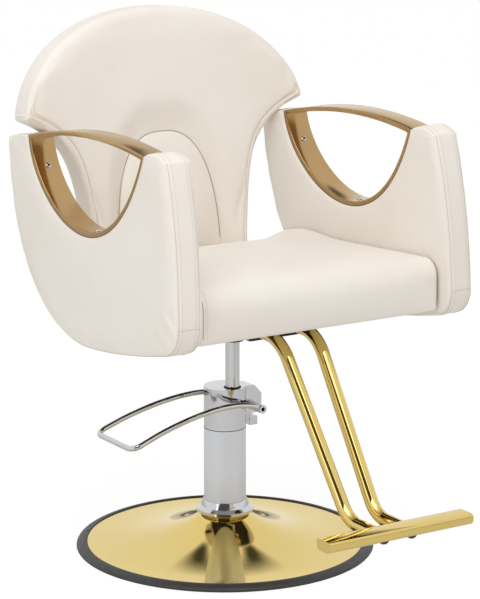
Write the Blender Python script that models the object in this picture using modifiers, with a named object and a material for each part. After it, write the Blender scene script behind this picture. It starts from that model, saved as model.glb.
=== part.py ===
"""Hydraulic salon styling chair: a round base, a foot-pumped column, a seat that lifts and swivels.

Metres, +Z up. The floor is z = 0, the swivel axis is the Z axis and the sitter faces -Y.
Left and right are the sitter's, so left is +X.
"""

import math

import bmesh
import bpy
import numpy as np
from mathutils import Matrix, Quaternion, Vector

# Clearances
GAP = 0.0003
BORE_GAP = 0.0004
SLIDE_GAP = 0.0005

# Base
BASE_RADIUS = 0.290
TRIM_WIDTH = 0.021
TRIM_HEIGHT = 0.014
TRIM_LIP = 0.004
PLATE_THICKNESS = 0.006
DOME_WALL = 0.002
DOME_TOP = 0.070
DOME_EDGE = 0.009
DOME_POWER = 2.3
COLLAR_RADIUS = 0.0555
COLLAR_HEIGHT = 0.022
COLLAR_WALL = 0.0025
COLLAR_RIM = 0.004

# Pump
PUMP_X = -0.006
PUMP_Y = 0.018
SLEEVE_RADIUS = 0.0408
SLEEVE_WALL = 0.0025
HEAD_TOP = 0.318
SLEEVE_TOP = HEAD_TOP - 0.0815
FOOT_RADIUS = 0.075
FOOT_THICKNESS = 0.010
FOOT_BOLT_CIRCLE = 0.060
CYLINDER_WALL = 0.003
BUSH_WALL = 0.003
BUSH_LENGTH = 0.024
WIPER_WIDTH = 0.0031
WIPER_DEPTH = 0.006
WIPER_LIP = 0.002
HOOD_REACH = 0.072
HOOD_HEIGHT = 0.058
HOOD_HALF_WIDTH = 0.019
HOOD_FLAT = 0.056
HOOD_SLOPE_DROP = 0.018
HOOD_WALL = 0.0075
HOOD_END_WALL = 0.004
HOOD_ROOF = 0.0215

# Ram
ROD_RADIUS = 0.0138
ROD_BOTTOM = 0.150
PISTON_LENGTH = 0.020
PISTON_GROWTH = 0.0012
SEAL_WIDTH = 0.006
SEAL_DEPTH = 0.003

# Foot lever and plunger
SHAFT_X = 0.046
SHAFT_Z = HEAD_TOP - 0.040
SHAFT_RADIUS = 0.0085
SHAFT_BORE = 0.0036
SHAFT_OVERHANG = 0.007
LEVER_WIRE = 0.0053
LEVER_HALF_WIDTH = 0.058
LEVER_REACH = 0.292
LEVER_DROP = 0.035
LEVER_RISE = 0.034
LEVER_SPREAD = 0.012
LEVER_CORNER = 0.020
CAM_HALF_WIDTH = 0.008
CAM_FINGER = 0.021
CAM_DEPTH = 0.0095
CAM_TAIL = 0.046
CAM_TAIL_START = 0.028
CAM_TAIL_REACH = 0.024
PLUNGER_REACH = 0.016
PLUNGER_RADIUS = 0.005
PLUNGER_LENGTH = 0.013
PLUNGER_BORE_FLOOR = SHAFT_Z - 0.0385
POCKET_FLOOR = SHAFT_Z - 0.0175
SPRING_WIRE = 0.0006
SPRING_RADIUS = 0.0036
SPRING_TURNS = 4

# Under the seat; the board's height carries the whole seat
BOARD_BOTTOM = 0.479
BOARD_THICKNESS = 0.014
HUB_RADIUS = 0.024
HUB_BOTTOM = BOARD_BOTTOM - 0.068
HUB_SOCKET = 0.045
BOARD_FRONT = -0.205
BOARD_REAR = 0.175
BOARD_HALF_WIDTH = 0.2605
MOUNT_PLATE = 0.005
MOUNT_PLATE_HALF_WIDTH = 0.080
MOUNT_PLATE_FRONT = -0.060
MOUNT_PLATE_REAR = 0.100
MOUNT_BOLT_INSET = 0.018

# Seat cushion
SEAT_FRONT = -0.302
SEAT_EDGE_HEIGHT = BOARD_BOTTOM + 0.0972
SEAT_SLOPE = 0.0614
SEAT_CROWN = 0.013
SEAT_FRONT_DROP = 0.010
SEAT_REAR_DROP = 0.013
SEAT_DRAW = 0.004
SEAT_BULGE = 0.005
SEAT_SIDE_GAP = 0.0012
SEAT_REAR_GAP = 0.0012
SEAT_ROUND = 0.014
SEAT_CORNER = 0.021
SEAT_CORNER_START = 0.185

# Back
BACK_Y = 0.2187
BACK_Z = BOARD_BOTTOM + 0.081
BACK_LEAN = math.radians(8)
BACK_DEPTH = 0.062
BACK_BOTTOM = -0.060
BACK_WRAP = 0.30
BACK_DRAW = 0.007
BACK_ROUND = 0.010
STEM_HALF_WIDTH = 0.171
STEM_TAPER = 0.10
FLARE_WIDTH = 0.115
FLARE_LENGTH = 0.044
TIP_HEIGHT = 0.2700
DOME_HALF_WIDTH = 0.3145
DOME_CENTRE = 0.2424
DOME_RISE = 0.230
DOME_SHAPE = 2.08
TIP_ROUND = 0.010
POCKET_INSET = 0.022
POCKET_DEPTH = 0.022
POCKET_PLAY = 0.0010
BACK_BOARD = 0.010
LUMBAR_HALF_WIDTH = 0.1145
LUMBAR_TOP = 0.224
LUMBAR_EDGE = 0.006
LUMBAR_BULGE = 0.016
LUMBAR_BOTTOM = -0.020
LUMBAR_SHAPE = 2.6
LUMBAR_SINK = 0.010
LUMBAR_TUCK = 0.100
SINK_SPREAD = 0.5
LUMBAR_ROUND = 0.004
BRACKET_WIDTH = 0.036
BRACKET_THICKNESS = 0.004
BRACKET_X = 0.075
BRACKET_FRONT = 0.104
BRACKET_TOP = 0.110

# Arms
ARM_INNER = 0.2635
ARM_REFERENCE = BOARD_BOTTOM + 0.171
ARM_LEAN = 0.026
ARM_THICKNESS = 0.058
ARM_DRAW = 0.003
ARM_ROUND = 0.008
STRAP_WIDTH = 0.050
STRAP_THICKNESS = 0.0088
STRAP_SCREWS = (0.487, 0.885)
ARM_BRACKET_THICKNESS = 0.003
ARM_BRACKET_HALF_LENGTH = 0.080
ARM_BRACKET_LEG = 0.042
ARM_BRACKET_DROP = 0.024
ARM_BOLT_SPACING = 0.110

# Arm outline, as (y, height over the seat board's underside) in the side view
POST_CORNER = (-0.281, 0.343)
FRONT_SWELL = (-0.323, 0.223)
FRONT_FOOT = (-0.329, 0.057)
TOE_CORNER = (-0.327, 0.008)
TOE = (-0.280, 0.001)
KEEL = (-0.120, -0.036)
LOWEST = (0.003, -0.041)
REAR_BELLY = (0.168, -0.041)
REAR_SWELL = (0.300, 0.096)
REAR_TOP = (0.303, 0.312)
POST_CROWN = 0.012
REAR_CROWN = 0.002
SCOOP_FRONT = (-0.2075, 0.344)
SCOOP_FRONT_PULL = (-0.091, 0.0415)
SCOOP_REAR_PULL = (0.2075, 0.191)
SCOOP_REAR = (0.2236, 0.3255)
ARCH_PEAK = (0.002, 0.379)

# Footrest
TUBE_RADIUS = 0.0125
TUBE_WALL = 0.002
TUBE_TOP_X = 0.040
TUBE_LOW_X = 0.030
TUBE_REAR = -0.075
TUBE_KNEE_Y = -0.2272
TUBE_ANKLE_Y = -0.436
TUBE_FRONT = -0.545
TUBE_LOW_Z = 0.1725
KNEE_BEND = 0.085
ANKLE_BEND = 0.060
BAR_HALF_LENGTH = 0.155
BAR_FRONT = -0.560
BAR_DEPTH = 0.042
BAR_TOP = 0.188
BAR_HEIGHT = 0.021
BAR_EDGE = 0.008
PLUG_HEAD = 0.003
PLUG_SPIGOT = 0.010
CLAMP_Y = -0.140
CLAMP_LENGTH = 0.040
CLAMP_THICKNESS = 0.004
CLAMP_OVERHANG = 0.010

# Fasteners: head radius, head height, shank radius
BIG_BOLT = (0.0075, 0.0045, 0.0040)
SMALL_BOLT = (0.0055, 0.0035, 0.0025)
BOLT_GRIP = 0.008
SCREW_GRIP = 0.010

ROUND_STEPS = 48
MIDDLE_STEPS = 32
SMALL_STEPS = 20
BOLT_STEPS = 10
ARM_STEPS = 24

UPRIGHT = Matrix.Rotation(math.radians(90), 4, "X")
SIDEWAYS = Matrix(((0, 0, 1, 0), (1, 0, 0, 0), (0, 1, 0, 0), (0, 0, 0, 1)))


def linear(value):
    share = value / 255
    if share <= 0.04045:
        return share / 12.92
    return ((share + 0.055) / 1.055) ** 2.4


# Finishes: display colour, roughness, metallic
CREAM = ((235, 227, 216), 0.45, 0.0)
BRONZE_GOLD = ((199, 169, 131), 0.35, 1.0)
POLISHED_GOLD = ((222, 200, 146), 0.12, 1.0)
CHROME = ((205, 206, 208), 0.08, 1.0)
SATIN_GREY = ((205, 205, 205), 0.40, 0.6)
BLACK_RUBBER = ((70, 69, 69), 0.60, 0.0)
BLACK_STEEL = ((34, 34, 35), 0.45, 0.8)
BARE_STEEL = ((150, 152, 155), 0.35, 1.0)
BRONZE = ((168, 128, 84), 0.40, 1.0)
PLYWOOD = ((196, 164, 120), 0.70, 0.0)


def new_collection(name):
    collection = bpy.data.collections.new(name)
    bpy.context.scene.collection.children.link(collection)
    return collection


for left_over in list(bpy.data.objects):
    bpy.data.objects.remove(left_over, do_unlink=True)
PARTS = new_collection("salon_chair")
CUTTERS = new_collection("cutters")


def add_axis(name, place, parent=None):
    """An empty on a joint's axis or in a leaning frame, which carries the pieces that go with it."""
    axis = bpy.data.objects.new(name, None)
    PARTS.objects.link(axis)
    axis.parent = parent
    axis.matrix_local = place
    return axis


def add_piece(name, mesh, finish, carrier=None, place=Matrix()):
    piece = bpy.data.objects.new(name, mesh)
    PARTS.objects.link(piece)
    piece.parent = carrier
    piece.matrix_local = place
    colour, roughness, metallic = finish
    material = bpy.data.materials.new(name)
    material.use_nodes = True
    shader = material.node_tree.nodes["Principled BSDF"]
    shader.inputs["Base Color"].default_value = (*map(linear, colour), 1.0)
    shader.inputs["Roughness"].default_value = roughness
    shader.inputs["Metallic"].default_value = metallic
    mesh.materials.append(material)
    return piece


def add_cutter(name, mesh, carrier=None, place=Matrix()):
    cutter = bpy.data.objects.new(name, mesh)
    CUTTERS.objects.link(cutter)
    cutter.parent = carrier
    cutter.matrix_local = place
    cutter.hide_render = True
    cutter.display_type = "WIRE"
    return cutter


def combine(piece, cutter, operation="DIFFERENCE"):
    step = piece.modifiers.new(cutter.name, "BOOLEAN")
    step.operation = operation
    step.object = cutter


def mesh_from(name, shape, smooth_angle=40):
    mesh = bpy.data.meshes.new(name)
    bmesh.ops.recalc_face_normals(shape, faces=shape.faces[:])
    if shape.calc_volume(signed=True) < 0:
        bmesh.ops.reverse_faces(shape, faces=shape.faces[:])
    shape.to_mesh(mesh)
    shape.free()
    mesh.shade_smooth()
    mesh.set_sharp_from_angle(angle=math.radians(smooth_angle))
    return mesh


def box_mesh(name, low, high):
    shape = bmesh.new()
    bmesh.ops.create_cube(shape, size=1.0)
    size = Vector(high) - Vector(low)
    middle = (Vector(high) + Vector(low)) / 2
    for point in shape.verts:
        point.co = middle + Vector(a * b for a, b in zip(point.co, size))
    return mesh_from(name, shape)


def cylinder_mesh(name, radius, bottom, top, steps=SMALL_STEPS):
    shape = bmesh.new()
    middle = Matrix.Translation((0, 0, (bottom + top) / 2))
    bmesh.ops.create_cone(
        shape,
        cap_ends=True,
        segments=steps,
        radius1=radius,
        radius2=radius,
        depth=top - bottom,
        matrix=middle,
    )
    return mesh_from(name, shape)


def turn(piece, steps):
    """Turns the piece's profile about its Z axis."""
    screw = piece.modifiers.new("turned", "SCREW")
    screw.steps = steps
    screw.render_steps = steps
    screw.use_merge_vertices = True
    screw.merge_threshold = 0.00001


def profile_mesh(name, profile, ring):
    """A (radius, height) profile, its outer side from top to bottom; a ring's closes on itself."""
    mesh = bpy.data.meshes.new(name)
    count = len(profile)
    edges = [(i, i + 1) for i in range(count - 1)]
    if ring:
        edges.append((count - 1, 0))
    mesh.from_pydata([(radius, 0, height) for radius, height in profile], edges, [])
    return mesh


def add_turned(name, profile, finish, carrier=None, place=Matrix(), steps=ROUND_STEPS, ring=False):
    piece = add_piece(name, profile_mesh(name, profile, ring), finish, carrier, place)
    turn(piece, steps)
    return piece


def add_ring(
    name, inner, outer, bottom, top, finish, carrier=None, place=Matrix(), steps=ROUND_STEPS
):
    profile = [(outer, top), (outer, bottom), (inner, bottom), (inner, top)]
    return add_turned(name, profile, finish, carrier, place, steps, ring=True)


def solid_of_curve(name, curve):
    """The curve's solid as a mesh with its caps welded on."""
    guide = bpy.data.objects.new(name, curve)
    CUTTERS.objects.link(guide)
    graph = bpy.context.evaluated_depsgraph_get()
    rough = bpy.data.meshes.new_from_object(guide.evaluated_get(graph))
    bpy.data.objects.remove(guide)
    shape = bmesh.new()
    shape.from_mesh(rough)
    bpy.data.meshes.remove(rough)
    bmesh.ops.remove_doubles(shape, verts=shape.verts[:], dist=0.00001)
    return mesh_from(name, shape)


def outline_mesh(name, loops, thickness):
    """A flat outline, with any further loops as its holes, given a thickness about its own plane."""
    curve = bpy.data.curves.new(name, "CURVE")
    curve.dimensions = "2D"
    curve.fill_mode = "BOTH"
    curve.extrude = thickness / 2
    for loop in loops:
        spline = curve.splines.new("POLY")
        spline.points.add(len(loop) - 1)
        spline.use_cyclic_u = True
        for point, (across, up) in zip(spline.points, loop):
            point.co = (across, up, 0, 1)
    return solid_of_curve(name, curve)


def wire_mesh(name, path, radius, resolution):
    curve = bpy.data.curves.new(name, "CURVE")
    curve.dimensions = "3D"
    curve.bevel_depth = radius
    curve.bevel_resolution = resolution
    curve.use_fill_caps = True
    spline = curve.splines.new("POLY")
    spline.points.add(len(path) - 1)
    for point, place in zip(spline.points, path):
        point.co = (*place, 1)
    return solid_of_curve(name, curve)


def bezier(controls, count):
    """Points along the Bezier curve of the given controls."""
    path = []
    for i in range(count + 1):
        row = [np.array(control, float) for control in controls]
        while len(row) > 1:
            row = [a + (b - a) * i / count for a, b in zip(row, row[1:])]
        path.append(row[0])
    return path


def spaced(path, count):
    """The same path with its points spread evenly along its length."""
    path = np.array(path)
    runs = np.linalg.norm(np.diff(path, axis=0), axis=1)
    length = np.concatenate([[0], np.cumsum(runs)])
    wanted = np.linspace(0, length[-1], count + 1)
    return np.stack([np.interp(wanted, length, column) for column in path.T], axis=1)


def inset(loop, distance):
    """A closed outline that runs anticlockwise, moved inwards by a distance."""
    points = np.array(loop, float)
    run = np.roll(points, -1, axis=0) - points
    run /= np.linalg.norm(run, axis=1)[:, None]
    after = np.stack([-run[:, 1], run[:, 0]], axis=1)
    before = np.roll(after, 1, axis=0)
    spread = 1 + np.sum(after * before, axis=1)
    return points + distance * (after + before) / spread[:, None]


def bent(corners, radii, steps):
    """A path of straight runs with an arc of the given radius at each inner corner."""
    corners = [Vector(corner) for corner in corners]
    path = [corners[0]]
    for before, corner, after, radius in zip(corners, corners[1:], corners[2:], radii):
        back = (before - corner).normalized()
        ahead = (after - corner).normalized()
        half = back.angle(ahead) / 2
        centre = corner + (back + ahead).normalized() * radius / math.sin(half)
        spoke = corner + back * radius / math.tan(half) - centre
        axis = ahead.cross(back).normalized()
        for i in range(steps + 1):
            swing = Quaternion(axis, (math.pi - 2 * half) * i / steps)
            path.append(centre + swing @ spoke)
    return path + [corners[-1]]


def facing(point, direction):
    """A frame at a point with its Z axis along a direction."""
    swing = Vector((0, 0, 1)).rotation_difference(Vector(direction))
    return Matrix.Translation(point) @ swing.to_matrix().to_4x4()


def add_bolt(name, sizes, grip, finish, carrier, place, holes_in):
    """A button-head bolt with its head on z = 0 of its frame, and the holes it passes through."""
    head, height, shank = sizes
    crown = [(0, height), (head * 0.7, height), (head, GAP)]
    stem = [(shank, GAP), (shank, -grip), (0, -grip)]
    add_turned(name, crown + stem, finish, carrier, place, BOLT_STEPS)
    hole = cylinder_mesh(name + "_hole", shank + BORE_GAP, -grip - GAP, height, BOLT_STEPS)
    cutter = add_cutter(name + "_hole", hole, carrier, place)
    for piece in holes_in:
        combine(piece, cutter)


def soften(piece, width, segments=2):
    """Rounds the sewn edges of a cushion."""
    bevel = piece.modifiers.new("rounded", "BEVEL")
    bevel.width = width
    bevel.segments = segments
    bevel.limit_method = "ANGLE"
    bevel.angle_limit = math.radians(38)


def cushion_mesh(name, cuts, form):
    """A block cut along its three ways, whose points the form moves from -1..1 to their places."""
    shape = bmesh.new()
    bmesh.ops.create_cube(shape, size=2.0)
    for way, count in enumerate(cuts):
        normal = Vector((way == 0, way == 1, way == 2))
        for i in range(1, count):
            whole = shape.verts[:] + shape.edges[:] + shape.faces[:]
            level = normal * (2 * i / count - 1)
            bmesh.ops.bisect_plane(shape, geom=whole, dist=1e-6, plane_co=level, plane_no=normal)
    for point in shape.verts:
        point.co = form(*point.co)
    return mesh_from(name, shape)


def at_pump(x=0.0, y=0.0, z=0.0):
    return Matrix.Translation((PUMP_X + x, PUMP_Y + y, z))


def foot_top():
    return PLATE_THICKNESS + GAP + FOOT_THICKNESS


def build_base():
    plate_radius = BASE_RADIUS - TRIM_WIDTH
    profile = [(0, PLATE_THICKNESS), (plate_radius, PLATE_THICKNESS), (plate_radius, 0), (0, 0)]
    plate = add_turned("base_plate", profile, BARE_STEEL, place=at_pump())

    rim = plate_radius + GAP
    trim = [
        (rim + TRIM_LIP, TRIM_HEIGHT),
        (BASE_RADIUS - TRIM_HEIGHT * 0.55, TRIM_HEIGHT * 0.86),
        (BASE_RADIUS, TRIM_HEIGHT * 0.25),
        (BASE_RADIUS, 0),
        (rim, 0),
        (rim, PLATE_THICKNESS + DOME_WALL * 1.5),
    ]
    add_turned("base_trim_ring", trim, BLACK_RUBBER, place=at_pump(), ring=True)

    neck = SLEEVE_RADIUS + SLIDE_GAP
    edge = plate_radius - GAP
    outer = []
    for share in np.linspace(0, 1, 9):
        radius = neck + (edge - neck) * share**1.5
        height = DOME_EDGE + (DOME_TOP - DOME_EDGE) * ((edge - radius) / (edge - neck)) ** DOME_POWER
        outer.append((radius, height))
    skirt = [(edge, PLATE_THICKNESS + GAP), (edge - DOME_WALL, PLATE_THICKNESS + GAP)]
    inner = [(radius, height - DOME_WALL) for radius, height in outer[-2::-2]]
    inner.append((neck, DOME_TOP - DOME_WALL))
    add_turned("base_dome", outer + skirt + inner, POLISHED_GOLD, place=at_pump(), ring=True)

    floor = PLATE_THICKNESS + GAP
    foot_profile = [(0, foot_top()), (FOOT_RADIUS, foot_top()), (FOOT_RADIUS, floor), (0, floor)]
    foot = add_turned("pump_foot", foot_profile, BARE_STEEL, place=at_pump(), steps=SMALL_STEPS)
    grip = FOOT_THICKNESS + PLATE_THICKNESS / 2
    for i in range(4):
        angle = math.radians(45 + 90 * i)
        out_x = FOOT_BOLT_CIRCLE * math.cos(angle)
        out_y = FOOT_BOLT_CIRCLE * math.sin(angle)
        spot = at_pump(out_x, out_y, foot_top())
        add_bolt(f"pump_foot_bolt_{i + 1}", BIG_BOLT, grip, BARE_STEEL, None, spot, [foot, plate])


def build_column():
    low = foot_top() + GAP
    sleeve_bore = SLEEVE_RADIUS - SLEEVE_WALL
    around = {"place": at_pump(), "steps": MIDDLE_STEPS}
    add_ring("pump_sleeve", sleeve_bore, SLEEVE_RADIUS, low, SLEEVE_TOP, SATIN_GREY, **around)

    bore = SLEEVE_RADIUS + GAP
    seat = DOME_TOP + GAP
    collar = [
        (bore + COLLAR_WALL * 0.6, seat + COLLAR_HEIGHT),
        (bore + COLLAR_WALL, seat + COLLAR_HEIGHT * 0.9),
        (bore + COLLAR_WALL * 2, seat + COLLAR_RIM * 2.2),
        (COLLAR_RADIUS, seat + COLLAR_RIM),
        (COLLAR_RADIUS, seat - COLLAR_RIM * 0.5),
        (COLLAR_RADIUS - COLLAR_WALL, seat - COLLAR_RIM * 0.5),
        (COLLAR_RADIUS - COLLAR_WALL, seat),
        (bore, seat),
        (bore, seat + COLLAR_HEIGHT),
    ]
    add_turned("pump_collar", collar, CHROME, ring=True, **around)

    bore = ROD_RADIUS + PISTON_GROWTH
    wall = bore + CYLINDER_WALL
    add_ring("pump_cylinder", bore, wall, low, SLEEVE_TOP, BARE_STEEL, steps=SMALL_STEPS)


def build_head():
    bottom = SLEEVE_TOP + GAP
    body = cylinder_mesh("pump_head", SLEEVE_RADIUS, bottom, HEAD_TOP, MIDDLE_STEPS)
    head = add_piece("pump_head", body, CHROME, place=at_pump())

    low = HEAD_TOP - HOOD_HEIGHT
    hood_top = HEAD_TOP - 0.002
    side = [
        (0, low),
        (HOOD_REACH - 0.002, low),
        (HOOD_REACH, low + 0.002),
        (HOOD_REACH, HEAD_TOP - HOOD_SLOPE_DROP - 0.003),
        (HOOD_REACH - 0.002, HEAD_TOP - HOOD_SLOPE_DROP),
        (HOOD_FLAT, hood_top - 0.001),
        (HOOD_FLAT - 0.004, hood_top),
        (0, hood_top),
    ]
    hood = outline_mesh("hood", [side], 2 * HOOD_HALF_WIDTH)
    combine(head, add_cutter("hood", hood, place=at_pump() @ UPRIGHT), "UNION")

    room = HOOD_HALF_WIDTH - HOOD_WALL
    pocket_low = (SHAFT_X - CAM_FINGER - 0.003, -room, POCKET_FLOOR)
    pocket_high = (HOOD_REACH - HOOD_END_WALL, room, HEAD_TOP - HOOD_ROOF)
    pocket = box_mesh("cam_pocket", pocket_low, pocket_high)
    combine(head, add_cutter("cam_pocket", pocket, place=at_pump()))
    mouth_low = (SLEEVE_RADIUS + 0.001, -room, low - 0.010)
    mouth_high = (HOOD_REACH - HOOD_END_WALL, room, POCKET_FLOOR + 0.004)
    mouth = box_mesh("cam_mouth", mouth_low, mouth_high)
    combine(head, add_cutter("cam_mouth", mouth, place=at_pump()))

    plunger_hole = PLUNGER_RADIUS + BORE_GAP
    mouth_top = POCKET_FLOOR + 0.004
    plunger_bore = cylinder_mesh("plunger_bore", plunger_hole, PLUNGER_BORE_FLOOR, mouth_top)
    combine(head, add_cutter("plunger_bore", plunger_bore, place=at_pump(SHAFT_X - PLUNGER_REACH)))

    long = 2 * HOOD_HALF_WIDTH
    shaft_bore = cylinder_mesh("shaft_bore", SHAFT_RADIUS + BORE_GAP, -long, long)
    shaft_place = at_pump(SHAFT_X, 0, SHAFT_Z) @ UPRIGHT
    combine(head, add_cutter("shaft_bore", shaft_bore, place=shaft_place))

    ram_hole = ROD_RADIUS + 2 * BORE_GAP
    ram_bore = cylinder_mesh("ram_bore", ram_hole, bottom - 0.01, HEAD_TOP + 0.01)
    combine(head, add_cutter("ram_bore", ram_bore))
    wiper_floor = HEAD_TOP - WIPER_DEPTH
    wiper_hole = ROD_RADIUS + WIPER_WIDTH + GAP
    wiper_seat = cylinder_mesh("wiper_seat", wiper_hole, wiper_floor, HEAD_TOP + 0.01)
    combine(head, add_cutter("wiper_seat", wiper_seat))
    bush_hole = ROD_RADIUS + BUSH_WALL + GAP
    bush_floor = wiper_floor - BUSH_LENGTH
    bush_seat = cylinder_mesh("bush_seat", bush_hole, bush_floor, wiper_floor + 0.001)
    combine(head, add_cutter("bush_seat", bush_seat))

    bush_inner = ROD_RADIUS + BORE_GAP
    bush_outer = ROD_RADIUS + BUSH_WALL
    low = bush_floor + GAP
    high = wiper_floor - GAP
    add_ring("rod_bush", bush_inner, bush_outer, low, high, BRONZE, steps=SMALL_STEPS)
    wiper_outer = ROD_RADIUS + WIPER_WIDTH
    wiper = [
        (ROD_RADIUS + BORE_GAP + 0.001, HEAD_TOP + WIPER_LIP),
        (wiper_outer, HEAD_TOP + WIPER_LIP * 0.4),
        (wiper_outer, wiper_floor + GAP),
        (ROD_RADIUS + BORE_GAP, wiper_floor + GAP),
        (ROD_RADIUS + BORE_GAP, HEAD_TOP + WIPER_LIP),
    ]
    add_turned("rod_wiper", wiper, BLACK_RUBBER, steps=SMALL_STEPS, ring=True)


def build_lever():
    axis = add_axis("lever_axis", at_pump(SHAFT_X, 0, SHAFT_Z))
    half = LEVER_HALF_WIDTH + SHAFT_OVERHANG
    add_ring("lever_shaft", SHAFT_BORE, SHAFT_RADIUS, -half, half, CHROME, axis, UPRIGHT, SMALL_STEPS)

    tip = np.array((-LEVER_REACH, -LEVER_DROP))
    controls = [(0, 0), (-0.2 * LEVER_REACH, LEVER_RISE), (-0.65 * LEVER_REACH, 0.2 * LEVER_RISE), tip]
    side = bezier(controls, 12)[:-2]
    start = Vector(controls[1]).normalized() * (SHAFT_RADIUS + 0.0006)

    def spread(x):
        return LEVER_HALF_WIDTH + LEVER_SPREAD * abs(x) / LEVER_REACH

    near = [(start.x, -LEVER_HALF_WIDTH, start.y)]
    near += [(x, -spread(x), z) for x, z in side if math.hypot(x, z) > 2 * SHAFT_RADIUS]
    far = [(x, -y, z) for x, y, z in reversed(near)]
    corners = [near[-1]]
    corners += [(tip[0], way * spread(tip[0]), tip[1]) for way in (-1, 1)]
    corners.append(far[0])
    path = near[:-1] + bent(corners, (LEVER_CORNER, LEVER_CORNER), 5) + far[1:]
    add_piece("lever_loop", wire_mesh("lever_loop", path, LEVER_WIRE, 2), CHROME, axis)

    top = SHAFT_RADIUS + 0.003
    finger = [
        (-CAM_FINGER, -CAM_DEPTH),
        (-PLUNGER_REACH + PLUNGER_RADIUS + 0.002, -CAM_DEPTH),
        (-0.004, -top - 0.001),
        (0.006, -top - 0.001),
        (0.006, -CAM_TAIL),
        (CAM_TAIL_REACH, -CAM_TAIL),
        (CAM_TAIL_REACH, -CAM_TAIL_START - 0.001),
        (0.013, -CAM_TAIL_START),
        (0.013, -0.002),
        (0.010, top),
        (-0.004, top),
        (-CAM_FINGER, 0),
    ]
    turns = [2 * math.pi * i / SMALL_STEPS for i in range(SMALL_STEPS)]
    bore = SHAFT_RADIUS + GAP
    hole = [(bore * math.cos(angle), bore * math.sin(angle)) for angle in turns]
    cam = outline_mesh("lever_cam", [finger, hole], 2 * CAM_HALF_WIDTH)
    add_piece("lever_cam", cam, BARE_STEEL, axis, UPRIGHT)


def build_plunger():
    axis = add_axis("plunger_axis", at_pump(SHAFT_X - PLUNGER_REACH))
    top = SHAFT_Z - CAM_DEPTH - GAP
    bottom = top - PLUNGER_LENGTH
    profile = [(0, top), (PLUNGER_RADIUS, top), (PLUNGER_RADIUS, bottom), (0, bottom)]
    add_turned("pump_plunger", profile, BARE_STEEL, axis, steps=SMALL_STEPS)

    floor = PLUNGER_BORE_FLOOR + GAP + SPRING_WIRE
    rise = bottom - GAP - SPRING_WIRE - floor
    path = []
    for i in range(8 * SPRING_TURNS + 1):
        angle = math.radians(45) * i
        height = floor + rise * i / (8 * SPRING_TURNS)
        path.append((SPRING_RADIUS * math.cos(angle), SPRING_RADIUS * math.sin(angle), height))
    add_piece("plunger_spring", wire_mesh("plunger_spring", path, SPRING_WIRE, 0), BARE_STEEL, axis)


def build_ram(swivel):
    bore = ROD_RADIUS + PISTON_GROWTH
    outer = bore - BORE_GAP
    top = ROD_BOTTOM - GAP
    bottom = top - PISTON_LENGTH
    groove_top = (top + bottom + SEAL_WIDTH) / 2 + GAP
    groove_bottom = (top + bottom - SEAL_WIDTH) / 2 - GAP
    groove = outer - SEAL_DEPTH
    piston = [
        (0, top),
        (outer, top),
        (outer, groove_top),
        (groove, groove_top),
        (groove, groove_bottom),
        (outer, groove_bottom),
        (outer, bottom),
        (0, bottom),
    ]
    lift = add_axis("lift_axis", Matrix())
    add_turned("piston", piston, BARE_STEEL, lift, steps=SMALL_STEPS)
    seal_low = groove_bottom + GAP
    seal_high = groove_top - GAP
    inside = groove + GAP
    outside = bore - GAP
    add_ring(
        "piston_seal", inside, outside, seal_low, seal_high, BLACK_RUBBER, lift, steps=SMALL_STEPS
    )

    rod_top = HUB_BOTTOM + HUB_SOCKET - GAP
    rod = [
        (0, rod_top),
        (ROD_RADIUS - 0.001, rod_top),
        (ROD_RADIUS, rod_top - 0.001),
        (ROD_RADIUS, ROD_BOTTOM),
        (0, ROD_BOTTOM),
    ]
    add_turned("piston_rod", rod, CHROME, swivel, steps=SMALL_STEPS)


def seat_corner(x, half):
    """0 in front of the back, up to 1 at the seat's rear corners beside it."""
    return max(abs(x) - SEAT_CORNER_START, 0) / (half - SEAT_CORNER_START)


def seat_top(x, y, half):
    """Height of the seat cushion's top: it falls to the rear and is crowned, with rolled ends."""
    rear = BACK_Y
    across = min(abs(x) / half, 1)
    along = min(abs(2 * (y - SEAT_FRONT) / (rear - SEAT_FRONT) - 1), 1)
    crown = SEAT_CROWN * (1 - across**4) * (1 - along**4)
    drop = SEAT_FRONT_DROP if y < (rear + SEAT_FRONT) / 2 else SEAT_REAR_DROP
    if y > SEAT_FRONT + (rear - SEAT_FRONT) / 2:
        drop *= 1 - seat_corner(x, half)
    roll = drop * along**8
    return SEAT_EDGE_HEIGHT - SEAT_SLOPE * y + crown - roll


def back_surface(x, z):
    """The y of the back's front at a height: it leans, and its sides wrap forward."""
    return BACK_Y + (z - BACK_Z) * math.tan(BACK_LEAN) - BACK_WRAP * x * x


def arm_inner(z):
    """The x of the left arm's inner face at a height: the arms lean in towards their tops."""
    return ARM_INNER + (ARM_REFERENCE - z) * math.tan(ARM_LEAN)


def seat_half_width():
    return arm_inner(SEAT_EDGE_HEIGHT) - SEAT_SIDE_GAP


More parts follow.
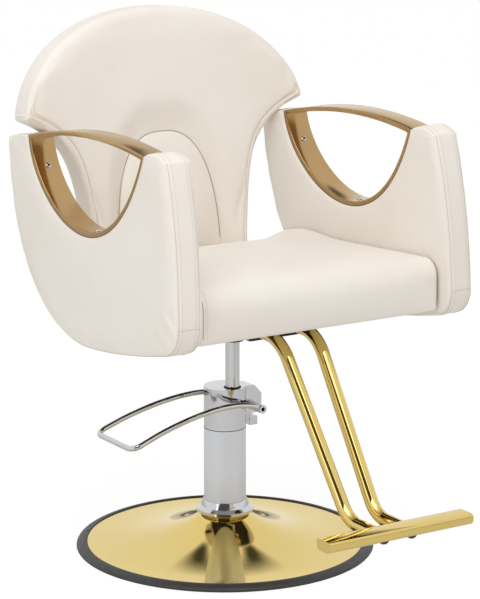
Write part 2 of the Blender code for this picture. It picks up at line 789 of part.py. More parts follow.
def build_seat(swivel):
    under = BOARD_BOTTOM
    over = BOARD_BOTTOM + BOARD_THICKNESS
    low = (-BOARD_HALF_WIDTH, BOARD_FRONT, under)
    high = (BOARD_HALF_WIDTH, BOARD_REAR, over)
    board = add_piece("seat_board", box_mesh("seat_board", low, high), PLYWOOD, swivel)

    plate_top = under - GAP
    low = (-MOUNT_PLATE_HALF_WIDTH, MOUNT_PLATE_FRONT, plate_top - MOUNT_PLATE)
    high = (MOUNT_PLATE_HALF_WIDTH, MOUNT_PLATE_REAR, plate_top)
    plate = add_piece("seat_plate", box_mesh("seat_plate", low, high), BLACK_STEEL, swivel)
    sides = [way * (MOUNT_PLATE_HALF_WIDTH - MOUNT_BOLT_INSET) for way in (-1, 1)]
    ends = [MOUNT_PLATE_FRONT + MOUNT_BOLT_INSET, MOUNT_PLATE_REAR - MOUNT_BOLT_INSET]
    spots = [(x, y) for x in sides for y in ends]
    for i, (x, y) in enumerate(spots):
        spot = facing((x, y, plate_top - MOUNT_PLATE), (0, 0, -1))
        grip = MOUNT_PLATE + BOLT_GRIP
        name = f"seat_plate_bolt_{i + 1}"
        add_bolt(name, BIG_BOLT, grip, BARE_STEEL, swivel, spot, [plate, board])

    hub_top = plate_top - MOUNT_PLATE - GAP
    socket = ROD_RADIUS + GAP
    ceiling = HUB_BOTTOM + HUB_SOCKET
    hub = [
        (0, hub_top),
        (HUB_RADIUS + 0.012, hub_top),
        (HUB_RADIUS + 0.012, hub_top - 0.004),
        (HUB_RADIUS, hub_top - 0.012),
        (HUB_RADIUS, HUB_BOTTOM + 0.002),
        (HUB_RADIUS - 0.002, HUB_BOTTOM),
        (socket, HUB_BOTTOM),
        (socket, ceiling),
        (0, ceiling),
    ]
    add_turned("seat_hub", hub, BLACK_STEEL, swivel, steps=MIDDLE_STEPS)

    half = seat_half_width()
    floor = over + GAP

    def form(u, v, w):
        mid_y = SEAT_FRONT + (BACK_Y - SEAT_FRONT) * (v + 1) / 2
        top = seat_top(u * half, mid_y, half)
        z = floor + (top - floor) * (w + 1) / 2
        x = u * (half - SEAT_DRAW * (1 - v * v) * (1 - w * w))
        rear = back_surface(x, z) - SEAT_REAR_GAP + SEAT_CORNER * seat_corner(x, half)
        y = SEAT_FRONT + (rear - SEAT_FRONT) * (v + 1) / 2
        y -= SEAT_BULGE * (1 - w * w) * (1 - u**4) * max(-v, 0) ** 6
        return Vector((x, y, z))

    cushion_shape = cushion_mesh("seat_cushion", (12, 11, 3), form)
    cushion = add_piece("seat_cushion", cushion_shape, CREAM, swivel)
    soften(cushion, SEAT_ROUND)
    return board


def stem_half_width(s):
    """Half width of the back's lower part: a stem that flares out to the cap's tips."""
    flare = FLARE_WIDTH * math.exp((s - TIP_HEIGHT) / FLARE_LENGTH)
    return STEM_HALF_WIDTH + STEM_TAPER * max(s, 0) + flare


def cap_point(u, margin):
    """A point on the cap's dome drawn in by a margin: the right tip at -1, the left at 1."""
    wide = DOME_HALF_WIDTH - margin
    rise = DOME_RISE - margin
    tip = TIP_HEIGHT + TIP_ROUND + 1.2 * margin
    reach = math.acos(((tip - DOME_CENTRE) / rise) ** (DOME_SHAPE / 2))
    across = math.sin(u * reach)
    x = math.copysign(abs(across) ** (2 / DOME_SHAPE), across)
    return wide * x, DOME_CENTRE + rise * math.cos(u * reach) ** (2 / DOME_SHAPE)


def back_point(u, share, margin):
    """A point (x, s) of the back drawn in by a margin: u runs across, share runs up."""
    bottom = BACK_BOTTOM + margin
    top = DOME_CENTRE + DOME_RISE - margin
    tip_x, tip_s = cap_point(1, margin)
    cap_x, cap_s = cap_point(u, margin)
    side = bottom + (tip_s - bottom) * math.sin(share * math.pi / 2)
    crest = bottom + (top - bottom) * share
    half = tip_x
    if share < 1:
        half = stem_half_width(min(side - 1.2 * margin, TIP_HEIGHT)) - margin
    if margin:
        half = min(half, tip_x)
    return half * cap_x / tip_x, side + (crest - side) * (cap_s - tip_s) / (top - tip_s)


def lumbar_ring(x, s):
    """0 at the middle of the lumbar pad's foot, 1 on its outline, more outside it."""
    up = max(s - LUMBAR_BOTTOM, 0) / (LUMBAR_TOP - LUMBAR_BOTTOM)
    across = abs(x) / LUMBAR_HALF_WIDTH
    return (up**LUMBAR_SHAPE + across**LUMBAR_SHAPE) ** (1 / LUMBAR_SHAPE)


def lumbar_sink(x, s):
    """How far the back's front sinks towards the seam round the lumbar pad."""
    away = min(max((lumbar_ring(x, s) - 1) / SINK_SPREAD, 0), 1)
    return LUMBAR_SINK * (1 - away) ** 2 * (1 + 2 * away)


def lumbar_point(u, share, margin):
    """A point (x, s) of the lumbar pad let out by a margin: u runs across, share runs up."""
    wide = LUMBAR_HALF_WIDTH + margin
    low = LUMBAR_BOTTOM - margin
    rise = LUMBAR_TOP + margin - low
    power = 2 / LUMBAR_SHAPE
    shoulder = math.radians(55)

    def rim(angle):
        across = math.sin(angle)
        up = max(math.cos(angle), 0) ** power
        return wide * math.copysign(abs(across) ** power, across), low + rise * up

    side_x, side_s = rim(math.pi / 2 + (shoulder - math.pi / 2) * share)
    corner_x, corner_s = rim(shoulder)
    arch_x, arch_s = rim(u * shoulder)
    lift = (arch_s - corner_s) / (low + rise - corner_s)
    return side_x * arch_x / corner_x, side_s + (low + rise * share - side_s) * lift


def build_back(swivel, seat_board):
    lean = Matrix.Translation((0, BACK_Y, BACK_Z)) @ Matrix.Rotation(-BACK_LEAN, 4, "X")
    frame = add_axis("back_frame", lean, swivel)

    def form(u, v, w):
        x, s = back_point(u, (v + 1) / 2, BACK_DRAW * max(w, 0))
        depth = BACK_DEPTH * (w + 1) / 2 - BACK_WRAP * x * x
        if w == -1:
            depth += lumbar_sink(x, s)
        return Vector((x, depth, s))

    cushion_shape = cushion_mesh("back_cushion", (14, 12, 2), form)
    cushion = add_piece("back_cushion", cushion_shape, CREAM, frame)
    soften(cushion, BACK_ROUND)

    def sheet(name, margin, front, rear):
        def form_sheet(u, v, w):
            x, s = back_point(u, (v + 1) / 2, margin)
            return Vector((x, (front if w < 0 else rear) - BACK_WRAP * x * x, s))

        return cushion_mesh(name, (10, 6, 1), form_sheet)

    floor = BACK_DEPTH - POCKET_DEPTH
    inside = POCKET_INSET + POCKET_PLAY
    pocket = sheet("back_pocket", POCKET_INSET, floor, BACK_DEPTH + 0.02)
    combine(cushion, add_cutter("back_pocket", pocket, frame))
    board_front = floor + 2 * GAP
    board_rear = board_front + BACK_BOARD
    board = sheet("back_board", inside, board_front, board_rear)
    add_piece("back_board", board, PLYWOOD, frame)
    inner = BRACKET_X - BRACKET_WIDTH / 2
    outer = BRACKET_X + BRACKET_WIDTH / 2
    bracket_front = board_rear - BACK_WRAP * inner**2 + 2 * GAP
    bracket_rear = bracket_front + BRACKET_THICKNESS
    panel_front = bracket_rear + BACK_WRAP * outer**2 + 2 * GAP
    panel = sheet("back_panel", inside, panel_front, BACK_DEPTH + 0.002)
    add_piece("back_panel", panel, CREAM, frame)

    def lumbar_form(margin):
        def form_lumbar(u, v, w):
            x, s = lumbar_point(u, (v + 1) / 2, margin)
            rear = LUMBAR_SINK - GAP + margin - BACK_WRAP * x * x
            tuck = math.sin(min(max((s - LUMBAR_BOTTOM) / LUMBAR_TUCK, 0), 1) * math.pi / 2)
            swell = LUMBAR_EDGE + LUMBAR_BULGE * max(1 - lumbar_ring(x, s) ** 3, 0) * tuck
            return Vector((x, rear if w > 0 else rear - swell - margin, s))

        return form_lumbar

    lumbar_shape = cushion_mesh("back_lumbar", (8, 8, 1), lumbar_form(0))
    lumbar = add_piece("back_lumbar", lumbar_shape, CREAM, frame)
    soften(lumbar, LUMBAR_ROUND)
    bed = cushion_mesh("lumbar_bed", (8, 8, 1), lumbar_form(GAP))
    combine(cushion, add_cutter("lumbar_bed", bed, frame))

    leg_top = BOARD_BOTTOM - GAP
    leg_mid = leg_top - BRACKET_THICKNESS / 2
    upright_mid = (bracket_front + bracket_rear) / 2
    low_s = (leg_mid - BACK_Z + upright_mid * math.sin(BACK_LEAN)) / math.cos(BACK_LEAN)
    heel = lean @ Vector((0, upright_mid, low_s))
    head = lean @ Vector((0, upright_mid, BRACKET_TOP))
    middle = bent([(0, BRACKET_FRONT, leg_mid), heel, head], [0.016], 4)
    strip = np.array([(point.y, point.z) for point in middle])
    run = np.gradient(strip, axis=0)
    run /= np.linalg.norm(run, axis=1)[:, None]
    normal = np.stack([-run[:, 1], run[:, 0]], axis=1) * BRACKET_THICKNESS / 2
    loop = list(strip - normal) + list((strip + normal)[::-1])
    for name, way in (("right", -1), ("left", 1)):
        mesh = outline_mesh(f"back_bracket_{name}", [loop], BRACKET_WIDTH)
        place = Matrix.Translation((way * BRACKET_X, 0, 0)) @ SIDEWAYS
        bracket = add_piece(f"back_bracket_{name}", mesh, BLACK_STEEL, swivel, place)
        slot_half = BRACKET_WIDTH / 2 + GAP
        slot_low = (way * BRACKET_X - slot_half, bracket_front - GAP, BACK_BOTTOM - 0.02)
        slot_top = BACK_BOTTOM + POCKET_INSET + 0.01
        slot_high = (way * BRACKET_X + slot_half, BACK_DEPTH + 0.02, slot_top)
        slot = box_mesh(f"bracket_slot_{name}", slot_low, slot_high)
        combine(cushion, add_cutter(f"bracket_slot_{name}", slot, frame))
        spot_y = (BRACKET_FRONT + BOARD_REAR) / 2
        spot = facing((way * BRACKET_X, spot_y, leg_top - BRACKET_THICKNESS), (0, 0, -1))
        grip = BRACKET_THICKNESS + BOLT_GRIP
        bolt = f"back_bracket_bolt_{name}"
        add_bolt(bolt, BIG_BOLT, grip, BARE_STEEL, swivel, spot, [bracket, seat_board])


def arm_outer():
    """The arm's outer edge in the side view, from the front post's top to the rear post's."""
    path = bezier([POST_CORNER, FRONT_SWELL, FRONT_FOOT], 8)
    path += bezier([FRONT_FOOT, TOE_CORNER, TOE], 6)[1:]
    path += bezier([TOE, KEEL, LOWEST], 6)[1:]
    path += bezier([LOWEST, REAR_BELLY, REAR_SWELL, REAR_TOP], 12)[1:]
    return [(y, BOARD_BOTTOM + rise) for y, rise in path]


def scoop(count):
    controls = [SCOOP_FRONT, SCOOP_FRONT_PULL, SCOOP_REAR_PULL, SCOOP_REAR]
    return spaced(bezier(controls, 100), count) + np.array((0, BOARD_BOTTOM))


def arm_loop():
    """The strap's outer outline: along the scoop to the rear, then over the arch to the front."""
    arch = bezier([SCOOP_REAR, ARCH_PEAK, SCOOP_FRONT], 12)
    return list(scoop(ARM_STEPS)[:-1]) + [(y, BOARD_BOTTOM + rise) for y, rise in arch[:-1]]


def build_arm(name, way, swivel):
    lean = Matrix.Rotation(-way * ARM_LEAN, 4, "Y")
    place = Matrix.Translation((way * ARM_INNER, 0, ARM_REFERENCE)) @ lean
    frame = add_axis(f"arm_frame_{name}", place, swivel)
    drop = Matrix.Translation((0, 0, -ARM_REFERENCE))
    steps = ARM_STEPS
    edge = spaced(arm_outer(), steps)
    bed = inset(arm_loop(), -GAP)[: steps + 1]
    half = ARM_THICKNESS / 2

    def form(u, v, w):
        step = round((u + 1) / 2 * steps)
        share = (v + 1) / 2
        y, z = edge[step] + (bed[step] - edge[step]) * share
        bow = 4 * share * (1 - share)
        if step == 0:
            z += POST_CROWN * bow
        if step == steps:
            z += REAR_CROWN * bow
        draw = ARM_DRAW * max(abs(u), abs(v)) ** 8
        x = way * (half + w * (half - draw))
        return Vector((x, y, z))

    pad_mesh = cushion_mesh(f"arm_pad_{name}", (steps, 5, 2), form)
    pad = add_piece(f"arm_pad_{name}", pad_mesh, CREAM, frame, drop)
    soften(pad, ARM_ROUND)

    loop = arm_loop()
    mid = Matrix.Translation((way * half, 0, 0)) @ SIDEWAYS
    loops = [loop, inset(loop, STRAP_THICKNESS)]
    strap_mesh = outline_mesh(f"arm_loop_{name}", loops, STRAP_WIDTH)
    strap = add_piece(f"arm_loop_{name}", strap_mesh, BRONZE_GOLD, frame, drop @ mid)
    curve = scoop(ARM_STEPS)
    for i, share in enumerate(STRAP_SCREWS):
        index = int(share * ARM_STEPS)
        run = curve[index + 1] - curve[index]
        y, z = curve[index] + run * (share * ARM_STEPS - index)
        run_y, run_z = run
        normal = Vector((0, -run_z, run_y)).normalized()
        seat = Vector((way * half, y, z)) + normal * STRAP_THICKNESS
        spot = drop @ facing(seat, normal)
        grip = STRAP_THICKNESS + SCREW_GRIP
        screw = f"arm_screw_{name}_{i + 1}"
        add_bolt(screw, SMALL_BOLT, grip, CHROME, frame, spot, [strap, pad])

    top = BOARD_BOTTOM - GAP
    under = top - ARM_BRACKET_THICKNESS
    foot = top - ARM_BRACKET_DROP
    face = arm_inner(top) - GAP
    root = face - ARM_BRACKET_LEG
    wall = face - ARM_BRACKET_THICKNESS
    angle = [(root, under), (wall, under), (wall, foot)]
    angle += [(face, foot), (face, top), (root, top)]
    if way < 0:
        angle = [(-x, z) for x, z in reversed(angle)]
    length = 2 * ARM_BRACKET_HALF_LENGTH
    bracket_mesh = outline_mesh(f"arm_bracket_{name}", [angle], length)
    bracket = add_piece(f"arm_bracket_{name}", bracket_mesh, BLACK_STEEL, swivel, UPRIGHT)
    for i, side in enumerate((-1, 1)):
        bolt_y = side * ARM_BOLT_SPACING / 2
        spot = facing((way * wall, bolt_y, (under + foot) / 2), (-way, 0, 0))
        grip = ARM_BRACKET_THICKNESS + BOLT_GRIP
        bolt = f"arm_bolt_{name}_{i + 1}"
        add_bolt(bolt, SMALL_BOLT, grip, BARE_STEEL, swivel, spot, [bracket, pad])


def build_footrest(swivel, seat_board):
    top_z = BOARD_BOTTOM - GAP - TUBE_RADIUS
    rear = BAR_FRONT + BAR_DEPTH
    low = BAR_TOP - BAR_HEIGHT
    side = BAR_TOP - BAR_EDGE
    front = BAR_FRONT
    profile = bezier([(rear, BAR_TOP - BAR_EDGE / 2), (rear, BAR_TOP), (rear - BAR_EDGE, BAR_TOP)], 3)
    profile += bezier([(front + BAR_EDGE, BAR_TOP), (front, BAR_TOP), (front, side)], 3)
    profile += bezier([(front, side), (front, low), (front + BAR_EDGE * 1.5, low)], 4)[1:]
    profile += bezier([(rear - BAR_EDGE, low), (rear, low), (rear, side)], 3)
    bar_mesh = outline_mesh("footrest_bar", [profile], 2 * BAR_HALF_LENGTH)
    bar = add_piece("footrest_bar", bar_mesh, POLISHED_GOLD, swivel, SIDEWAYS)

    for name, way in (("right", -1), ("left", 1)):
        corners = [
            (way * TUBE_TOP_X, TUBE_REAR, top_z),
            (way * TUBE_TOP_X, TUBE_KNEE_Y, top_z),
            (way * TUBE_LOW_X, TUBE_ANKLE_Y, TUBE_LOW_Z),
            (way * TUBE_LOW_X, TUBE_FRONT, TUBE_LOW_Z),
        ]
        path = bent(corners, (KNEE_BEND, ANKLE_BEND), 5)
        tube_mesh = wire_mesh(f"footrest_tube_{name}", path, TUBE_RADIUS, 5)
        tube = add_piece(f"footrest_tube_{name}", tube_mesh, POLISHED_GOLD, swivel)
        start = path[0] + (path[0] - path[1]) * 0.1
        finish = path[-1] + (path[-1] - path[-2]) * 0.1
        ends = [start, *path[1:-1], finish]
        hollow = wire_mesh(f"tube_hollow_{name}", ends, TUBE_RADIUS - TUBE_WALL, 3)
        combine(tube, add_cutter(f"tube_hollow_{name}", hollow, swivel))

        forward = facing((way * TUBE_LOW_X, TUBE_FRONT, TUBE_LOW_Z), (0, -1, 0))
        room = PLUG_HEAD + 2 * GAP
        depth = TUBE_FRONT - rear - 0.02
        socket = cylinder_mesh(f"bar_socket_{name}", TUBE_RADIUS + GAP, depth, room)
        combine(bar, add_cutter(f"bar_socket_{name}", socket, swivel, forward))
        spigot = TUBE_RADIUS - TUBE_WALL - 2 * GAP
        spigot *= math.cos(math.pi / 8)
        plug = [(0, PLUG_HEAD), (TUBE_RADIUS - 0.001, PLUG_HEAD), (TUBE_RADIUS - 0.0005, GAP)]
        plug += [(spigot, GAP), (spigot, -PLUG_SPIGOT), (0, -PLUG_SPIGOT)]
        add_turned(f"footrest_plug_{name}", plug, BLACK_RUBBER, swivel, forward, SMALL_STEPS)

    clamp_top = top_z - TUBE_RADIUS - GAP
    clamp_half = TUBE_TOP_X + TUBE_RADIUS + CLAMP_OVERHANG
    clamp_low = (-clamp_half, CLAMP_Y - CLAMP_LENGTH / 2, clamp_top - CLAMP_THICKNESS)
    clamp_high = (clamp_half, CLAMP_Y + CLAMP_LENGTH / 2, clamp_top)
    clamp_mesh = box_mesh("footrest_clamp", clamp_low, clamp_high)
    clamp = add_piece("footrest_clamp", clamp_mesh, BLACK_STEEL, swivel)
    spot = facing((0, CLAMP_Y, clamp_top - CLAMP_THICKNESS), (0, 0, -1))
    grip = CLAMP_THICKNESS + 2 * TUBE_RADIUS + BOLT_GRIP
    add_bolt("footrest_clamp_bolt", BIG_BOLT, grip, BLACK_STEEL, swivel, spot, [clamp, seat_board])


def main():
    build_base()
    build_column()
    build_head()
    build_lever()
    build_plunger()
    swivel = add_axis("swivel_axis", Matrix())
    build_ram(swivel)
    seat_board = build_seat(swivel)
    build_back(swivel, seat_board)
    for name, way in (("right", -1), ("left", 1)):
        build_arm(name, way, swivel)
    build_footrest(swivel, seat_board)


main()
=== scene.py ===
"""Looks of the salon styling chair: stuffed cushions, sewn edges, plated metal and a white studio.

Metres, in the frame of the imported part: +Z up, the sitter faces -Y and the sitter's left is +X.
"""

import math

import bmesh
import bpy
import numpy as np
from bpy.props import FloatProperty, FloatVectorProperty, PointerProperty
from mathutils import Matrix, Quaternion, Vector


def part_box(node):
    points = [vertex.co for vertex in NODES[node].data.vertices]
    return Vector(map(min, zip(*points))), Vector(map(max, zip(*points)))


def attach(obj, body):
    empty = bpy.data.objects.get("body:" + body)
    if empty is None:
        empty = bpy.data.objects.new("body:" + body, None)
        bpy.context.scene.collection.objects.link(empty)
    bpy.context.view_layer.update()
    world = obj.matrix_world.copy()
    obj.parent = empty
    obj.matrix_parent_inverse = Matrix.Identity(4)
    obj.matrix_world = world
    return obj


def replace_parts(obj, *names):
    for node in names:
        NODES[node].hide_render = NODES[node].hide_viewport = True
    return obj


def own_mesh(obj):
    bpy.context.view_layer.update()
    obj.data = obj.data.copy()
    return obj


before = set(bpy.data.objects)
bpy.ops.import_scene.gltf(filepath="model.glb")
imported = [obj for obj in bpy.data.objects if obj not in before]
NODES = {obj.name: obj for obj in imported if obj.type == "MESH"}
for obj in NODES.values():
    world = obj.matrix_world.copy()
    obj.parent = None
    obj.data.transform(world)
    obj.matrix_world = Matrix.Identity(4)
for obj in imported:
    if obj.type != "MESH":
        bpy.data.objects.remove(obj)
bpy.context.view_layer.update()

bl_info = {
    "name": "Salon styling chair",
    "version": (1, 0, 0),
    "blender": (4, 5, 0),
    "location": "View3D > Sidebar > Chair",
    "description": "Dresses the packed chair with upholstery, seams, plated metal and a studio",
    "category": "Object",
}

SIDES = (("left", 1), ("right", -1))

# Meshes
SAME_POINT = 0.00001
TINY = 1e-9
# Edges that bend more than this, in degrees, stay sharp
TURNED_SHARP = 50
ROD_SHARP = 60
PLATE_SHARP = 40
RIM_STEPS = 5
BASE_FACETS = 160
STITCH_SIDES = 6
# Along a stitch: places in shares of its length, girths in shares of the thread
STITCH_OUTLINE = ((-0.5, 0.55), (-0.3, 1.0), (0.3, 1.0), (0.5, 0.55))

# Stuffing with the cloth solver
STUFFING_FRAMES = 20
STUFFING_PRESSURE = 4.0

# How far thread and welts lie over the cover
THREAD_LIFT = 0.0001
LOW_WELT_LIFT = 0.0003
WELT_LIFT = 0.0004
LUMBAR_WELT_LIFT = 0.0009

# Seat cover: its rings of points, what the stuffing moves, and where it is sewn
SEAT_BACK_GAP = 0.0012
SEAT_PITCH = 0.0065
STRIP_COLUMNS = (0.0105, 0.0050, 0.0020)
MIDDLE_INSET = 0.0185
MIDDLE_COLUMNS = 58
END_RINGS = (0.8, 0.5, 0.2)
SIDE_RISE_Y = 0.13
SIDE_RISE_SPREAD = 0.07
FRONT_BULGE_DEPTH = 0.05
SEAT_HELD_LOW = 0.006
SEAT_HELD_END = 0.004
SEAT_HELD_REAR = 0.035
SEAT_FRONT_DEPTH = 0.06
SEAT_FRONT_REACH = 0.003
SEAT_REACH = 0.0055
SEAT_SEWN_OVER = 0.010
SEAT_SEWN_BEFORE = 0.004
SEAT_GROOVE = 0.6
# Columns of points between the cover's right or left end and its seam or row of stitches
SEAM_RIGHT, SEAM_LEFT = 5, 1
STITCHES_RIGHT, STITCHES_LEFT = 7, 3

# Back, rear panel and lumbar pad
BACK_STEPS = 46
BACK_RIM_STEPS = 8
BACK_BORDER = (0.010, 0.032)
BACK_SIDE_STEPS = (0.35, 0.7)
BACK_SEAM_STEP = 0.0015
BACK_REACH = 0.003
BACK_FOOT_HELD = 0.05
TIP_RISE = 1.2
LUMBAR_HELD = 1.02
LUMBAR_FREE = 0.3
PANEL_ACROSS = 40
PANEL_UP = 36
PANEL_BORDER = (0.02,)
PANEL_MARGIN = 0.024
PANEL_SUNK = 0.0075
PANEL_DEPTH = 0.012
PANEL_RIMS = (0.003, 0.006)
PANEL_REACH = 0.0025
LUMBAR_ACROSS = 26
LUMBAR_UP = 28
LUMBAR_BORDER = (0.03,)
LUMBAR_SHOULDER = math.radians(55)
LUMBAR_RIM = ((0.004, 1.0), (0.0018, 0.93), (0.0005, 0.75), (0.0, 0.45), (0.0, 0.0))
LUMBAR_BEDDING = 0.002
LUMBAR_OVERLAP = 0.0005
LUMBAR_REACH = 0.003

# Arms
ARM_STEPS = 600
ARM_EDGE_STEPS = (60, 40, 40, 90)
ARM_ALONG = 96
ARM_ENDS = (0.005, 0.012)
ARM_UP = 12
ARM_BORDER = (0.03,)
ARM_CROSS_CLEAR = 0.006
ARM_SEAM_SIDE = 0.0025
ARM_POST_SHARE = 0.06
ARM_REACH = 0.0035
ARM_INNER_REACH = 0.002
ARM_SEAT_HEIGHT = 0.605
ARM_SEAT_SIDE = 0.28
ARM_SEAT_REACH = 0.1
CROSS_GROOVE = 0.7
SCOOP_STEPS = 140
SCOOP_FINE_STEPS = 300
ARCH_STEPS = 90
STRAP_CLEAR = 0.999
# Rods at the straps' edges, dark as painted shade in the gap between strap and leather
STRAP_SHADE_RADIUS = 0.0010
STRAP_SHADE_INSET = 0.0008
SCREW_RADIUS = 0.0058
SCREW_RIM = 0.0008
SCREW_DOME = 0.0030
SCREW_DOME_TURNS = np.linspace(0, 1.05, 7)
SCREW_FACETS = 36
SCREW_SUNK = 0.0002
SCREW_NEARBY = 0.004
# (radius, height) of the socket's wall and floor, and of the black hexagon in it, painted shade in
# the socket
SCREW_SOCKET = ((0.0027, 0.0034), (0.0025, 0.0016), (0.0004, 0.0015), (0.0004, 0.0))
SCREW_SHADE_HEXAGON = ((0.0001, 0.0029), (0.0026, 0.0029), (0.0026, 0.0017), (0.0001, 0.0017))

# Base, pump and spring
BASE_BRIM = 0.009
BASE_SHEET = 0.002
BASE_RINGS = 40
BASE_CROWDING = 1.5
# The cover's rise is the sum of two curves, each a share and a power of the way in from the edge
BASE_CURVES = ((0.8, 2.2), (0.2, 10))
BASE_NECK_GAP = 0.0005
TRIM_GAP = 0.0006
TRIM_CREST = 0.80
TRIM_SIDE = (0.10, 0.52)
TRIM_CREST_INSET = 0.006
TRIM_STEPS = 12
TRIM_INNER_TOP = 0.8
TRIM_FOOT_INSET = 0.001
TRIM_LIP_INSET = 0.002
TRIM_LIP = 1.02
# A thin dark ring at the joint of the pump head and sleeve: painted shade in that joint
JOINT_SHADE_FACETS = 96
JOINT_SHADE_DEPTH = 0.001
JOINT_SHADE_PROUD = 0.0002
JOINT_SHADE_HALF_HEIGHT = 0.0006
SPRING_TURNS = 4
SPRING_STEPS = 96
BOLTS = (1, 2, 3, 4)

# Lever and footrest: the pulls of the lever's curve are shares of its reach and rise
LEVER_CLIMB = 0.2
LEVER_PULL = (0.65, 0.2)
LEVER_STEPS = 36
LEVER_CORNER_STEPS = 6
LEVER_SUNK = 0.001
LEVER_BEND_STEPS = 12
TUBE_BEND_STEPS = 16
TUBE_SIDES = 9

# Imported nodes: edges that bend less than this stay smooth, and those over the next are broken
SMOOTH_BELOW = math.radians(32)
BROKEN_OVER = math.radians(35)

# Studio: place, target and size of each light; place, size, shade and lean of each card
SKY_TINT = (1, 0.983, 0.96, 1)
MATT = 0.9
FLOOR_SPOTS = (3, 3.0)
FLOOR_DEEP = 0.99
FLOOR_REACH = 9.0
FLOOR_HEIGHT = -0.0006
FLOOR_GLOW = 1.09
FLOOR_GLOW_SHARE = 0.82
KEY_LIGHT = ((-0.7, -1.1, 3.4), (0, -0.05, 0.5), (2.6, 2.6))
FILL_LIGHT = ((-2.9, -1.6, 1.1), (0, 0, 0.5), (1.6, 1.8))
CARDS = (
    ("dark_card_front", (-1.85, -2.36, 2.0), (3.4, 4.0), 0.10, 0),
    ("dark_strip_left", (1.211, 2.786, 3.0), (0.46, 3.0), 0.06, 0.27),
    ("dark_strip_right", (1.989, 2.294, 3.0), (0.46, 3.0), 0.06, -0.27),
)
CARD_SPOTS = (2, 2.0)
CARD_DEEP = 0.8
CARD_EDGE = 18.0
SENSOR_WIDTH = 36

# Finishes, by the names of their materials
LEATHER = "cream_leather"
THREAD = "cream_thread"
# Welts are real, and their darker tone is painted shade in the seams
WELT = "seam_welt"
# Painted shade: dark rods in the lumbar seam and in the seat's end seams
SEAM_SHADE = "deep_crease"
BRONZE_GOLD = "brushed_bronze_gold"
# Painted shade: near-black rods in the gap between a strap and the leather
PAINTED_STRAP_SHADE = "strap_gap"
GOLD = "mirror_gold"
CHROME = "polished_chrome"
SLEEVE = "satin_grey_sleeve"
RUBBER = "matt_rubber"
COAT = "black_powder_coat"
STEEL = "bare_machined_steel"
BUSH = "sintered_bronze"
# Near-black boards: painted shade for the shaded underside of the seat
PLYWOOD = "stained_plywood"

# Noise as scale, detail, stretch and roughness, or the leather's pebbles
EVEN = (1, 1, 1)
PEBBLES = "pebbles"
PEBBLE_SCATTER = 0.9
PEBBLE_CREASE = 0.22
NOISE_LOW = 0.3
NOISE_HIGH = 0.7
STRAP_LINES = (1.0, 3.0, (1900, 16, 16))
SLEEVE_LINES = (1.0, 2.0, (30, 30, 2200))
STEEL_LINES = (1.0, 2.0, (60, 60, 1600))
FIBRES = (1.0, 4.0, (260, 14, 420))

